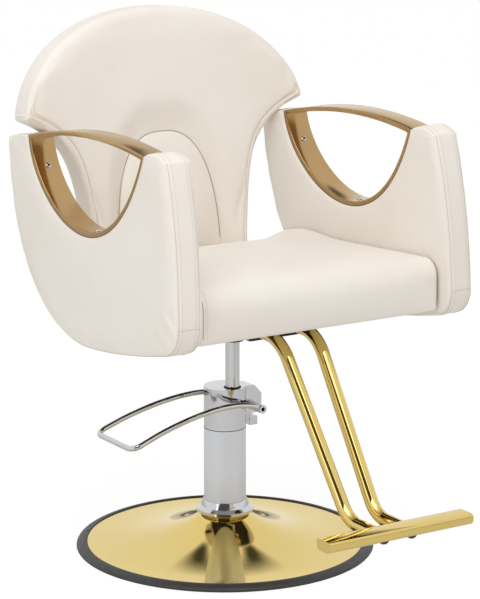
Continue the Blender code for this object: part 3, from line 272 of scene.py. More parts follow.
# What each finish is made of: deep is its second colour, or a share of its first one, and spots is
# the noise between the two; gloss is (noise, smooth, rough); relief has rows of (noise, depth,
# strength).
RECIPES = {
    LEATHER: {
        "colour": "cream",
        "deep": "cream_deep",
        "spots": (7, 4.0),
        "gloss": ((55, 3.0), 0.42, 0.54),
        "relief": (
            ((24, 3.0), 0.0012, 0.35),
            (PEBBLES, 0.00010, 0.55),
            ((2600, 2.0), 0.00004, 0.5),
        ),
        "sockets": {"Specular IOR Level": 0.38, "Sheen Weight": 0.06, "Sheen Roughness": 0.4},
    },
    THREAD: {
        "colour": "thread",
        "deep": 0.86,
        "spots": (900,),
        "relief": (((3500, 1.0), 0.00008, 0.6),),
        "sockets": {"Roughness": 0.7},
    },
    # Welt rods a little darker than the cover: real welts, with their darker tone painted shade in
    # the seams
    WELT: {
        "colour": "welt",
        "deep": 0.85,
        "spots": (300,),
        "relief": ((PEBBLES, 0.00006, 0.5),),
        "sockets": {"Roughness": 0.6},
    },
    # Dark rods in the seams: painted shade in the crease round the lumbar pad and at the seat's
    # ends
    SEAM_SHADE: {
        "colour": "crease",
        "deep": 0.8,
        "spots": (300,),
        "relief": ((PEBBLES, 0.00006, 0.5),),
        "sockets": {"Roughness": 0.7},
    },
    BRONZE_GOLD: {
        "colour": "bronze_gold",
        "deep": 0.92,
        "spots": (16, 4.0),
        "contrast": (0.6, 0.32),
        "gloss": (STRAP_LINES, 0.11, 0.19),
        "relief": ((STRAP_LINES, 0.00003, 0.4),),
        "sockets": {"Metallic": 1.0, "Specular Tint": (1.0, 0.97, 0.88, 1.0)},
    },
    # Strap metal darkened to near black: painted shade in the gap between strap and leather
    PAINTED_STRAP_SHADE: {
        "colour": "bronze_gold",
        "shade": 0.22,
        "deep": 0.7,
        "spots": (60,),
        "gloss": ((200,), 0.5, 0.7),
    },
    GOLD: {
        "colour": "polished_gold",
        "deep": 0.95,
        "spots": (5, 3.0),
        "gloss": ((30, 5.0, EVEN, 0.7), 0.045, 0.10),
        "relief": (((38, 2.0), 0.00006, 0.2),),
        "sockets": {"Metallic": 1.0, "Specular Tint": (1.0, 0.99, 0.96, 1.0)},
    },
    CHROME: {
        "colour": "chrome",
        "deep": 0.95,
        "spots": (6, 3.0),
        "gloss": ((60, 5.0, EVEN, 0.7), 0.05, 0.12),
        "relief": (((70, 2.0), 0.00004, 0.2),),
        "sockets": {"Metallic": 1.0},
    },
    SLEEVE: {
        "colour": "satin_grey",
        "deep": 0.95,
        "spots": (9, 3.0),
        "gloss": (SLEEVE_LINES, 0.28, 0.38),
        "relief": ((SLEEVE_LINES, 0.00003, 0.4),),
        "sockets": {"Metallic": 0.35},
    },
    RUBBER: {
        "colour": "rubber",
        "deep": 0.8,
        "spots": (40, 4.0),
        "gloss": ((120, 3.0), 0.42, 0.56),
        "relief": (((1500, 2.0), 0.00008, 0.5),),
    },
    COAT: {
        "colour": "black_coat",
        "deep": 0.7,
        "spots": (60, 3.0),
        "gloss": ((200, 2.0), 0.42, 0.56),
        "relief": (((1400, 2.0), 0.00012, 0.6),),
    },
    STEEL: {
        "colour": "steel",
        "deep": 0.8,
        "spots": (35, 4.0),
        "gloss": (STEEL_LINES, 0.26, 0.42),
        "relief": ((STEEL_LINES, 0.00003, 0.4),),
        "sockets": {"Metallic": 1.0},
    },
    BUSH: {
        "colour": "bronze",
        "deep": 0.75,
        "spots": (300, 3.0),
        "gloss": ((500, 2.0), 0.36, 0.5),
        "relief": (((1800, 1.0), 0.00005, 0.5),),
        "sockets": {"Metallic": 1.0},
    },
    # Boards coloured near black: painted shade for the seat's shaded underside, which the metal
    # reflects
    PLYWOOD: {
        "colour": "plywood",
        "deep": 0.68,
        "spots": FIBRES,
        "contrast": (0.35, 0.7),
        "gloss": (FIBRES, 0.62, 0.8),
        "relief": ((FIBRES, 0.0002, 0.4),),
    },
}


def length(name, description, default):
    return FloatProperty(
        name=name, description=description, default=default, unit="LENGTH", precision=4
    )


def ratio(name, description, default):
    return FloatProperty(name=name, description=description, default=default, precision=3)


def angle(name, description, degrees):
    return FloatProperty(
        name=name, description=description, default=math.radians(degrees), unit="ROTATION"
    )


def power(name, description, default):
    return FloatProperty(name=name, description=description, default=default, unit="POWER")


def group(kind, name, description):
    return PointerProperty(type=kind, name=name, description=description)


def spot(name, description, default):
    return FloatVectorProperty(
        name=name, description=description, default=default, size=2, unit="LENGTH", precision=4
    )


def linear(value):
    share = value / 255
    if share <= 0.04045:
        return share / 12.92
    return ((share + 0.055) / 1.055) ** 2.4


def tint(name, description, red, green, blue):
    return FloatVectorProperty(
        name=name,
        description=description,
        default=(linear(red), linear(green), linear(blue)),
        size=3,
        min=0,
        max=1,
        subtype="COLOR",
    )


class SeatSizes(bpy.types.PropertyGroup):
    front: length("Front", "Where the seat's front face stands along Y", -0.302)
    floor: length("Underside", "Height of the cushion's underside", 0.4934)
    edge_height: length("Edge height", "Height of the top at the swivel axis, at the sides", 0.5762)
    slope: ratio("Slope", "How fast the top falls towards the rear", 0.0614)
    crown: length("Crown", "How far the middle stands over the sides", 0.010)
    rear_drop: length("Rear drop", "How far the top dips in front of the back", 0.034)
    corner: length("Rear corner", "How far the rear corners reach past the back's front", 0.021)
    corner_start: length("Corner start", "Where the rear corners start along X", 0.185)
    drop_width: length("Drop width", "Half width of the dip in front of the back", 0.130)
    side_rise: length("Side rise", "How far the top's sides lift near the rear", 0.011)
    half_width: length("Half width", "Half of the cushion's width", 0.2642)
    front_roll: length("Front roll", "Radius of the rolled front edge", 0.032)
    rear_roll: length("Rear roll", "Radius of the rear edge under the back", 0.020)
    low_roll: length("Lower edge", "Radius of the lower edges", 0.008)
    side_roll: length("Side edge", "Radius of the edges against the arms", 0.011)
    bulge: length("Front bulge", "How far the front face bulges", 0.005)


class BackSizes(bpy.types.PropertyGroup):
    foot_y: length("Foot Y", "Where the front plane stands along Y at its reference height", 0.2187)
    foot_z: length("Foot height", "The reference height of the leaning plane", 0.560)
    lean: angle("Lean", "How far the back leans to the rear", 8)
    wrap: ratio("Wrap", "How strongly the sides wrap forward round the sitter", 0.30)
    depth: length("Depth", "Thickness of the back", 0.062)
    bottom: length("Bottom", "Lowest edge, up the plane", -0.060)
    stem: length("Stem half width", "Half width of the stem at its foot", 0.171)
    taper: ratio("Stem taper", "How fast the stem widens going up", 0.10)
    flare: length("Flare", "How far the stem flares out at the wings' tips", 0.115)
    flare_length: length("Flare length", "Over what height the flare dies away", 0.044)
    tip: length("Tip height", "Height of the wings' tips up the plane", 0.270)
    tip_round: length("Tip round", "Height of the blunt end of each tip", 0.010)
    dome_half_width: length("Dome half width", "Half width of the dome over the tips", 0.3145)
    dome_centre: length("Dome centre", "Height of the dome's centre up the plane", 0.2424)
    dome_rise: length("Dome rise", "Rise of the dome over its centre", 0.230)
    dome_shape: ratio("Dome shape", "2 is an ellipse, more is squarer", 2.08)
    rim: length("Rim", "Radius of the sewn rim at the stem and the tips", 0.008)
    dome_rim: length("Dome rim", "How deep the dome's soft rim falls", 0.016)
    dome_reach: length("Dome rim reach", "How far the dome's soft rim reaches in", 0.022)
    rear_rim: length("Rear rim", "Radius of the rim behind", 0.010)


class LumbarSizes(bpy.types.PropertyGroup):
    half_width: length("Half width", "Half width of the lumbar pad at its foot", 0.1145)
    top: length("Top", "Highest point of its arch, up the plane", 0.224)
    bottom: length("Bottom", "Its foot, up the plane", -0.020)
    shape: ratio("Arch shape", "2 is an ellipse, more is squarer", 2.6)
    sink: length("Sink", "How deep the seam round it lies", 0.0155)
    spread: ratio("Sink spread", "How far the cover slopes towards the seam", 0.30)
    edge: length("Edge", "Height of the pad at its seam", 0.006)
    bulge: length("Bulge", "How far its middle bulges", 0.023)
    tuck: length("Tuck", "Over what height the bulge dies away at the seat", 0.100)


class ArmSizes(bpy.types.PropertyGroup):
    inner: length("Inner face", "X of the inner face at the reference height", 0.2635)
    reference: length("Reference height", "The height about which the arms lean", 0.650)
    lean: FloatProperty(
        name="Lean", description="How far the arms lean in", default=0.026, unit="ROTATION"
    )
    thickness: length("Thickness", "Thickness of an arm", 0.058)
    rim: length("Rim", "Radius of the rounded edges", 0.0075)
    post_corner: spot("Post corner", "Top front corner, as Y and height", (-0.281, 0.822))
    front_swell: spot("Front swell", "Pull point of the front's curve", (-0.323, 0.702))
    front_foot: spot("Front foot", "Lower end of the front's curve", (-0.329, 0.536))
    toe_corner: spot("Toe corner", "Pull point of the toe", (-0.327, 0.487))
    toe: spot("Toe", "End of the toe under the seat", (-0.280, 0.480))
    keel: spot("Keel", "Pull point of the lower edge", (-0.120, 0.443))
    lowest: spot("Lowest", "Lowest point of the lower edge", (0.003, 0.438))
    rear_belly: spot("Rear belly", "First pull point of the rear edge", (0.168, 0.438))
    rear_swell: spot("Rear swell", "Second pull point of the rear edge", (0.300, 0.575))
    rear_top: spot("Rear top", "Top of the rear edge", (0.303, 0.791))
    post_crown: length("Post crown", "How far the front post's top is domed", 0.012)
    rear_crown: length("Rear crown", "How far the rear post's top is domed", 0.002)
    scoop_front: spot("Scoop front", "Front end of the scoop", (-0.2075, 0.823))
    scoop_front_pull: spot("Scoop front pull", "First pull point of the scoop", (-0.091, 0.5205))
    scoop_rear_pull: spot("Scoop rear pull", "Second pull point of the scoop", (0.2075, 0.670))
    scoop_rear: spot("Scoop rear", "Rear end of the scoop", (0.2236, 0.8045))
    arch_peak: spot("Arch pull", "Pull point of the arch over the scoop", (0.002, 0.858))
    strap_width: length("Strap width", "Width of the metal strap", 0.050)
    strap_thickness: length("Strap thickness", "Thickness of the metal strap", 0.0088)
    strap_edge: length("Strap edge", "How far the strap's edges are rounded", 0.0015)
    low_screw: ratio("Low screw", "Where the low screw sits along the scoop", 0.487)
    high_screw: ratio("High screw", "Where the high screw sits along the scoop", 0.885)
    seam_height: length("Cross seam", "Height of the seam across the front face", 0.535)


class SewingSizes(bpy.types.PropertyGroup):
    pitch: length("Stitch pitch", "From one stitch to the next", 0.0046)
    stitch: length("Stitch length", "Length of the thread that shows", 0.0034)
    thread: length("Thread radius", "Radius of the thread", 0.00034)
    groove: length("Seam depth", "How deep a seam pulls the cover in", 0.0017)
    inset: length("Topstitch inset", "From a seam to its topstitch", 0.0075)
    welt: length("Welt radius", "Radius of the thin welt in a seam", 0.0006)
    grain: length("Leather grain", "Size of one pebble of the leather's grain", 0.0011)


class MetalSizes(bpy.types.PropertyGroup):
    lever_wire: length("Lever wire", "Radius of the foot lever's rod", 0.0053)
    lever_half_width: length("Lever half width", "Half width of the lever at its shaft", 0.058)
    lever_spread: length("Lever spread", "How much wider the lever is at its foot end", 0.012)
    lever_reach: length("Lever reach", "From the shaft to the foot end", 0.292)
    lever_drop: length("Lever drop", "How far the foot end lies under the shaft", 0.035)
    lever_rise: length("Lever rise", "How far the lever first climbs", 0.034)
    lever_corner: length("Lever corner", "Bend radius at the foot end", 0.020)
    shaft_radius: length("Shaft radius", "Radius of the lever's cross tube", 0.0085)
    spring_wire: length("Spring wire", "Radius of the return spring's wire", 0.0006)
    plunger_stroke: length("Plunger stroke", "How far the plunger goes down", 0.0072)
    tube: length("Tube radius", "Radius of the footrest tubes", 0.0125)
    tube_top: spot("Tube top", "X and height of the tubes under the seat", (0.040, 0.4662))
    tube_low: spot("Tube foot", "X and height of the tubes at the bar", (0.030, 0.1725))
    tube_rear: length("Tube rear", "Rear end of the tubes along Y", -0.075)
    tube_knee: length("Knee", "Where the tubes turn down, along Y", -0.2272)
    tube_ankle: length("Ankle", "Where the tubes turn forward, along Y", -0.436)
    tube_front: length("Tube front", "Front end of the tubes along Y", -0.545)
    knee_bend: length("Knee bend", "Bend radius at the knee", 0.085)
    ankle_bend: length("Ankle bend", "Bend radius at the ankle", 0.060)
    edge: length("Broken edge", "How far hard metal edges are rounded", 0.0006)


class FinishColours(bpy.types.PropertyGroup):
    cream: tint("Cream leather", "Cover of the seat, back and arms", 244, 239, 232)
    cream_deep: tint("Cream in the grain", "Slightly deeper cream of the cover", 241, 234, 225)
    thread: tint("Thread", "Stitching of the cover", 226, 215, 198)
    # Welts a little darker than the cover: real welts, with the darker tone painted shade in the
    # seams
    welt: tint("Seam shade", "Thin welts in the seams", 220, 209, 192)
    # Dark seam colour: painted shade in the lumbar seam and the seat's end seams
    crease: tint("Deep crease", "Seams of the lumbar pad and the seat's ends", 158, 140, 108)
    bronze_gold: tint("Bronze gold", "Brushed arm straps", 183, 151, 105)
    polished_gold: tint("Polished gold", "Base cover, footrest tubes and bar", 224, 199, 122)
    chrome: tint("Chrome", "Pump head, lever, ram and screws", 205, 206, 208)
    satin_grey: tint("Satin grey", "Pump sleeve", 233, 237, 245)
    rubber: tint("Rubber", "Trim ring, wiper and plugs", 56, 55, 54)
    black_coat: tint("Black coat", "Hub, plates and brackets under the seat", 30, 30, 31)
    steel: tint("Bare steel", "Bolts and machined pieces", 150, 152, 155)
    bronze: tint("Bronze", "Rod bush", 168, 128, 84)
    # Near-black plywood: painted shade for the shaded underside of the seat
    plywood: tint("Plywood", "Seat and back boards, stained black", 38, 34, 31)


class StudioSizes(bpy.types.PropertyGroup):
    camera: FloatVectorProperty(
        name="Camera",
        description="Where the camera stands",
        default=(-2.45906, -3.89604, 1.55332),
        size=3,
        unit="LENGTH",
    )
    azimuth: angle("Azimuth", "How far the camera stands round from the front", -32.44)
    elevation: angle("Elevation", "How far the camera looks down", 12.99)
    lens: ratio("Lens", "Focal length in millimetres on a 36 mm sensor", 148.94)
    sky: ratio("Sky light", "Strength of the soft light from all round", 0.62)
    key: power("Key light", "Power of the large light", 44)
    fill: power("Fill light", "Power of the second light", 10.5)
    floor: tint("Floor", "Colour of the pale floor", 244, 244, 244)


class ChairSettings(bpy.types.PropertyGroup):
    seat: group(SeatSizes, "Seat", "Sizes of the seat cushion")
    back: group(BackSizes, "Back", "Sizes of the back")
    lumbar: group(LumbarSizes, "Lumbar", "Sizes of the lumbar pad")
    arm: group(ArmSizes, "Arms", "Sizes of the arms")
    sewing: group(SewingSizes, "Sewing", "Sizes of seams and grain")
    metal: group(MetalSizes, "Metal", "Sizes of the metal pieces")
    colours: group(FinishColours, "Colours", "Colours of the finishes")
    studio: group(StudioSizes, "Studio", "Camera and lights")


def settings():
    return bpy.context.scene.salon_chair


def new_piece(name, mesh, kind=None):
    """A piece of a mesh, with a finish if one is named."""
    piece = bpy.data.objects.new(name, mesh)
    bpy.context.scene.collection.objects.link(piece)
    if kind:
        mesh.materials.append(material_of(kind))
    return piece


def points_of(mesh):
    flat = np.zeros(len(mesh.vertices) * 3)
    mesh.vertices.foreach_get("co", flat)
    return flat.reshape(-1, 3)


def normals_of(mesh):
    flat = np.zeros(len(mesh.vertices) * 3, np.float32)
    mesh.vertex_normals.foreach_get("vector", flat)
    return flat.reshape(-1, 3)


def set_points(mesh, points):
    mesh.vertices.foreach_set("co", np.asarray(points, np.float32).ravel())
    mesh.update()


def face_out(mesh, sharp=None):
    """Turns all faces outwards and shades them smooth, but for edges sharper than an angle."""
    shape = bmesh.new()
    shape.from_mesh(mesh)
    bmesh.ops.recalc_face_normals(shape, faces=shape.faces[:])
    if shape.calc_volume(signed=True) < 0:
        bmesh.ops.reverse_faces(shape, faces=shape.faces[:])
    shape.to_mesh(mesh)
    shape.free()
    mesh.shade_smooth()
    if sharp:
        mesh.set_sharp_from_angle(angle=math.radians(sharp))


def steps(count, near=()):
    """Even steps from -1 to 1, with a few more at the listed distances from both ends."""
    ends = [-1.0] + [-1 + distance for distance in near]
    clear = abs(ends[-1]) - 1 / count
    middle = [float(value) for value in np.linspace(-1, 1, count + 1) if abs(value) < clear]
    return ends + middle + [-value for value in reversed(ends)]


def block_skin(name, across, up, through, place):
    """The closed skin of a block of cells, whose points place puts where they belong."""
    spans = (across, up, through)
    last = [len(span) - 1 for span in spans]
    numbers = {}
    points = []

    def number(key):
        if key not in numbers:
            numbers[key] = len(points)
            points.append(tuple(place(*(span[i] for span, i in zip(spans, key)))))
        return numbers[key]

    faces = []
    for way in range(3):
        first, second = (way + 1) % 3, (way + 2) % 3
        for side in (0, last[way]):
            for i in range(last[first]):
                for j in range(last[second]):
                    ring = []
                    for a, b in ((0, 0), (1, 0), (1, 1), (0, 1)):
                        key = [side, side, side]
                        key[first] = i + a
                        key[second] = j + b
                        ring.append(number(tuple(key)))
                    faces.append(ring if side else ring[::-1])
    mesh = bpy.data.meshes.new(name)
    mesh.from_pydata(points, [], faces)
    face_out(mesh)
    return mesh, numbers


def ring_skin(name, rings):
    """The skin through a row of closed rings, with a point at each end."""
    size = len(rings[0])
    points = [point for ring in rings for point in ring]
    faces = []
    for row in range(len(rings) - 1):
        for i in range(size):
            j = (i + 1) % size
            a, b = row * size, (row + 1) * size
            faces.append((a + i, a + j, b + j, b + i))
    for row in (0, len(rings) - 1):
        points.append(tuple(np.mean(rings[row], axis=0)))
        for i in range(size):
            faces.append((row * size + i, row * size + (i + 1) % size, len(points) - 1))
    mesh = bpy.data.meshes.new(name)
    mesh.from_pydata([tuple(point) for point in points], [], faces)
    face_out(mesh)
    return mesh


def turned_skin(name, profile, centre, count):
    """A closed (radius, height) profile turned about an upright axis."""
    points = []
    for i in range(count):
        turn = 2 * math.pi * i / count
        for radius, height in profile:
            x = centre[0] + radius * math.cos(turn)
            y = centre[1] + radius * math.sin(turn)
            points.append((x, y, height))
    size = len(profile)
    faces = []
    for i in range(count):
        a, b = i * size, (i + 1) % count * size
        for j in range(size):
            k = (j + 1) % size
            faces.append((a + j, b + j, b + k, a + k))
    mesh = bpy.data.meshes.new(name)
    mesh.from_pydata(points, [], faces)
    face_out(mesh, TURNED_SHARP)
    return mesh


def mesh_of_curve(name, curve, sharp=None):
    guide = bpy.data.objects.new(name, curve)
    bpy.context.scene.collection.objects.link(guide)
    graph = bpy.context.evaluated_depsgraph_get()
    mesh = bpy.data.meshes.new_from_object(guide.evaluated_get(graph))
    bpy.data.objects.remove(guide)
    shape = bmesh.new()
    shape.from_mesh(mesh)
    bmesh.ops.remove_doubles(shape, verts=shape.verts[:], dist=SAME_POINT)
    shape.to_mesh(mesh)
    shape.free()
    mesh.name = name
    face_out(mesh, sharp)
    return mesh


def rod_skin(name, path, radius, sides=6):
    """A round rod along a path."""
    curve = bpy.data.curves.new(name, "CURVE")
    curve.dimensions = "3D"
    curve.bevel_depth = radius
    curve.bevel_resolution = sides
    curve.use_fill_caps = True
    line = curve.splines.new("POLY")
    line.points.add(len(path) - 1)
    for point, place in zip(line.points, path):
        point.co = (*place, 1)
    return mesh_of_curve(name, curve, ROD_SHARP)


def plate_skin(name, loops, width, edge):
    """A flat outline with holes, given a width and rounded edges."""
    curve = bpy.data.curves.new(name, "CURVE")
    curve.dimensions = "2D"
    curve.fill_mode = "BOTH"
    curve.extrude = width / 2 - edge
    curve.bevel_depth = edge
    curve.bevel_resolution = 2
    curve.offset = -edge
    for loop in loops:
        line = curve.splines.new("POLY")
        line.points.add(len(loop) - 1)
        line.use_cyclic_u = True
        for point, (a, b) in zip(line.points, loop):
            point.co = (a, b, 0, 1)
    return mesh_of_curve(name, curve, PLATE_SHARP)


def clamp(value):
    return min(max(value, 0), 1)


def quarter(count):
    """Even steps over a quarter turn."""
    return np.linspace(0, math.pi / 2, count)


def bezier(controls, count):
    path = []
    for i in range(count + 1):
        row = [np.array(control, float) for control in controls]
        while len(row) > 1:
            row = [a + (b - a) * i / count for a, b in zip(row, row[1:])]
        path.append(row[0])
    return np.array(path)


def spaced(path, count):
    """The same path with its points spread evenly along its length."""
    path = np.asarray(path, float)
    runs = np.linalg.norm(np.diff(path, axis=0), axis=1)
    along = np.concatenate([[0], np.cumsum(runs)])
    wanted = np.linspace(0, along[-1], count + 1)
    return np.stack([np.interp(wanted, along, column) for column in path.T], axis=1)


def at_share(path, share):
    """The point at a share of an evenly spaced path."""
    place = clamp(share) * (len(path) - 1)
    low = min(int(place), len(path) - 2)
    return path[low] + (path[low + 1] - path[low]) * (place - low)


def inset(loop, distance):
    """A closed outline that runs anticlockwise, moved inwards by a distance."""
    points = np.asarray(loop, float)
    run = np.roll(points, -1, axis=0) - points
    run /= np.linalg.norm(run, axis=1)[:, None]
    after = np.stack([-run[:, 1], run[:, 0]], axis=1)
    before = np.roll(after, 1, axis=0)
    spread = 1 + np.sum(after * before, axis=1)
    return points + distance * (after + before) / spread[:, None]


def bent(corners, radii, count):
    """A path of straight runs with an arc of the given radius at each inner corner."""
    corners = [Vector(corner) for corner in corners]
    path = [corners[0]]
    for before, corner, after, radius in zip(corners, corners[1:], corners[2:], radii):
        back = (before - corner).normalized()
        ahead = (after - corner).normalized()
        half = back.angle(ahead) / 2
        centre = corner + (back + ahead).normalized() * radius / math.sin(half)
        spoke = corner + back * radius / math.tan(half) - centre
        axis = ahead.cross(back).normalized()
        for i in range(count + 1):
            swing = Quaternion(axis, (math.pi - 2 * half) * i / count)
            path.append(centre + swing @ spoke)
    return path + [corners[-1]]


def rounded_loop(corners, radii, pitch):
    """A closed outline with rounded corners, as evenly spaced points."""
    count = len(corners)
    path = []
    for i, radius in enumerate(radii):
        three = [corners[i - 1], corners[i], corners[(i + 1) % count]]
        arc = bent([(a, b, 0) for a, b in three], [radius], 10)[1:-1]
        path += [(point.x, point.y) for point in arc]
    path.append(path[0])
    around = np.sum(np.linalg.norm(np.diff(np.array(path), axis=0), axis=1))
    return spaced(path, round(around / pitch))[:-1]


def rim_steps(depth, front, rear, between):
    """(margin, depth) steps over a rounded rim, from the front face to the rear face."""
    turns = quarter(RIM_STEPS)
    row = [(front * (1 - math.sin(turn)), front * (1 - math.cos(turn))) for turn in turns]
    row += [(0.0, float(value)) for value in between]
    for turn in turns[::-1]:
        row.append((rear * (1 - math.sin(turn)), depth - rear * (1 - math.cos(turn))))
    return row


def stuff(piece, held, reach):
    """Fills a cover with the cloth solver: held points stay, the others move within their reach."""
    mesh = piece.data
    start = points_of(mesh)
    group = piece.vertex_groups.new(name="held")
    group.add([int(i) for i in held], 1.0, "REPLACE")
    cloth = piece.modifiers.new("stuffing", "CLOTH")
    cloth.settings.vertex_group_mass = group.name
    cloth.settings.use_pressure = True
    cloth.settings.uniform_pressure_force = STUFFING_PRESSURE
    cloth.settings.effector_weights.gravity = 0
    cloth.collision_settings.use_collision = False
    cloth.point_cache.frame_start = 1
    cloth.point_cache.frame_end = STUFFING_FRAMES
    for number in range(1, STUFFING_FRAMES + 1):
        bpy.context.scene.frame_set(number)
    graph = bpy.context.evaluated_depsgraph_get()
    move = points_of(piece.evaluated_get(graph).data) - start
    piece.modifiers.remove(cloth)
    piece.vertex_groups.clear()
    bpy.context.scene.frame_set(1)
    far = np.maximum(np.linalg.norm(move, axis=1), TINY)
    reach = np.broadcast_to(np.maximum(reach, TINY), far.shape)
    share = reach * np.tanh(far / reach) / far
    set_points(mesh, start + move * share[:, None])


def press(mesh, line, depth):
    """Pulls the points of a seam into the cover."""
    points = points_of(mesh)
    points[line] -= normals_of(mesh)[line] * depth
    set_points(mesh, points)


def subdivide(piece):
    step = piece.modifiers.new("smooth", "SUBSURF")
    step.levels = 1
    step.render_levels = 1


def line_on(mesh, line, lift):
    """The places and the normals of a row of points on a cover."""
    line = np.asarray(line, int)
    normals = normals_of(mesh)[line]
    return points_of(mesh)[line] + normals * lift, normals


def thread_skin(name, rows):
    """One mesh of short thread stitches along rows of (places, normals)."""
    sewing = settings().sewing
    points = []
    faces = []
    for places, normals in rows:
        runs = np.linalg.norm(np.diff(places, axis=0), axis=1)
        along = np.concatenate([[0], np.cumsum(runs)])
        for middle in np.arange(sewing.pitch / 2, along[-1], sewing.pitch):
            at = [np.interp(middle, along, column) for column in places.T]
            ahead = [np.interp(middle + sewing.stitch / 2, along, column) for column in places.T]
            behind = [np.interp(middle - sewing.stitch / 2, along, column) for column in places.T]
            normal = Vector([np.interp(middle, along, column) for column in normals.T]).normalized()
            run = (Vector(ahead) - Vector(behind)).normalized()
            side = run.cross(normal).normalized()
            base = len(points)
            for share, girth in STITCH_OUTLINE:
                heart = Vector(at) + run * sewing.stitch * share
                for i in range(STITCH_SIDES):
                    turn = math.radians(360 / STITCH_SIDES * i)
                    ray = side * math.cos(turn) + normal * math.sin(turn)
                    points.append(heart + ray * sewing.thread * girth)
            last = base + STITCH_SIDES * (len(STITCH_OUTLINE) - 1)
            for a in range(base, last, STITCH_SIDES):
                b = a + STITCH_SIDES
                for i in range(STITCH_SIDES):
                    j = (i + 1) % STITCH_SIDES
                    faces.append((a + i, a + j, b + j, b + i))
            faces.append(tuple(base + i for i in range(STITCH_SIDES)))
            faces.append(tuple(last + i for i in reversed(range(STITCH_SIDES))))
    mesh = bpy.data.meshes.new(name)
    mesh.from_pydata([tuple(point) for point in points], [], faces)
    mesh.shade_smooth()
    return mesh


def join_meshes(name, meshes):
    shape = bmesh.new()
    for mesh in meshes:
        shape.from_mesh(mesh)
        bpy.data.meshes.remove(mesh)
    whole = bpy.data.meshes.new(name)
    shape.to_mesh(whole)
    shape.free()
    whole.shade_smooth()
    return whole


def add_sewing(name, body, stitched, welted=(), kind=WELT):
    """Thread along the stitched rows and thin welts along the welted ones."""
    if stitched:
        mesh = thread_skin(name + "_thread", stitched)
        thread = new_piece(name + "_thread", mesh, THREAD)
        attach(thread, body)
    if welted:
        rods = []
        for i, places in enumerate(welted):
            rods.append(rod_skin(f"{name}_welt_{i}", places, settings().sewing.welt, sides=1))
        welt = new_piece(name + "_welt", join_meshes(name + "_welt", rods), kind)
        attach(welt, body)


def new_material(name, colour, roughness=0.5):
    """A new material and its shader."""
    material = bpy.data.materials.new(name)
    material.use_nodes = True
    shader = material.node_tree.nodes["Principled BSDF"]
    shader.inputs["Base Color"].default_value = (*colour, 1.0)
    shader.inputs["Roughness"].default_value = roughness
    return material, shader


def grain(shader, scale, detail=2.0, stretch=EVEN, rough=0.5):
    """Noise in the piece's own metres, as a value from 0 to 1."""
    tree = shader.id_data
    place = tree.nodes.new("ShaderNodeTexCoord")
    stretched = tree.nodes.new("ShaderNodeMapping")
    stretched.inputs["Scale"].default_value = stretch
    noise = tree.nodes.new("ShaderNodeTexNoise")
    noise.inputs["Scale"].default_value = scale
    noise.inputs["Detail"].default_value = detail
    noise.inputs["Roughness"].default_value = rough
    tree.links.new(place.outputs["Object"], stretched.inputs["Vector"])
    tree.links.new(stretched.outputs["Vector"], noise.inputs["Vector"])
    return noise.outputs["Fac"]


def pebbles(shader, size):
    """The cells of a leather's grain: 0 in the creases, 1 on the pebbles."""
    tree = shader.id_data
    place = tree.nodes.new("ShaderNodeTexCoord")
    cells = tree.nodes.new("ShaderNodeTexVoronoi")
    cells.feature = "DISTANCE_TO_EDGE"
    cells.inputs["Scale"].default_value = 1 / size
    cells.inputs["Randomness"].default_value = PEBBLE_SCATTER
    tree.links.new(place.outputs["Object"], cells.inputs["Vector"])
    return ranged(shader, cells.outputs["Distance"], 0.0, PEBBLE_CREASE, 0.0, 1.0)


def ranged(shader, value, low, high, to_low, to_high):
    tree = shader.id_data
    step = tree.nodes.new("ShaderNodeMapRange")
    step.inputs["From Min"].default_value = low
    step.inputs["From Max"].default_value = high
    step.inputs["To Min"].default_value = to_low
    step.inputs["To Max"].default_value = to_high
    tree.links.new(value, step.inputs["Value"])
    return step.outputs["Result"]


def roughen(shader, value, smooth, rough):
    tree = shader.id_data
    share = ranged(shader, value, NOISE_LOW, NOISE_HIGH, smooth, rough)
    tree.links.new(share, shader.inputs["Roughness"])


def mottle(shader, value, first, second, low=NOISE_LOW, high=NOISE_HIGH):
    """Colours the surface between two colours by a value."""
    tree = shader.id_data
    mix = tree.nodes.new("ShaderNodeMix")
    mix.data_type = "RGBA"
    mix.inputs["A"].default_value = (*first, 1.0)
    mix.inputs["B"].default_value = (*second, 1.0)
    tree.links.new(ranged(shader, value, low, high, 0.0, 1.0), mix.inputs["Factor"])
    tree.links.new(mix.outputs["Result"], shader.inputs["Base Color"])


def emboss(shader, value, distance, strength):
    """Adds one layer of relief over those that the shader has."""
    tree = shader.id_data
    bump = tree.nodes.new("ShaderNodeBump")
    bump.inputs["Distance"].default_value = distance
    bump.inputs["Strength"].default_value = strength
    tree.links.new(value, bump.inputs["Height"])
    below = shader.inputs["Normal"]
    if below.is_linked:
        tree.links.new(below.links[0].from_socket, bump.inputs["Normal"])
    tree.links.new(bump.outputs["Normal"], below)


def darker(colour, share):
    return [value * share for value in colour]


def material_of(kind):
    """The material of a finish, made from its recipe when it is first asked for."""
    known = bpy.data.materials.get(kind)
    if known:
        return known
    recipe = RECIPES[kind]
    colours = settings().colours
    colour = darker(getattr(colours, recipe["colour"]), recipe.get("shade", 1))
    deep = recipe["deep"]
    deep = getattr(colours, deep) if isinstance(deep, str) else darker(colour, deep)
    material, shader = new_material(kind, colour)
    spots = grain(shader, *recipe["spots"])
    mottle(shader, spots, colour, deep, *recipe.get("contrast", ()))
    if "gloss" in recipe:
        noise, smooth, rough = recipe["gloss"]
        roughen(shader, grain(shader, *noise), smooth, rough)
    for noise, depth, strength in recipe.get("relief", ()):
        if noise == PEBBLES:
            height = pebbles(shader, settings().sewing.grain)
        else:
            height = grain(shader, *noise)
        emboss(shader, height, depth, strength)
    for socket, value in recipe.get("sockets", {}).items():
        shader.inputs[socket].default_value = value
    return material


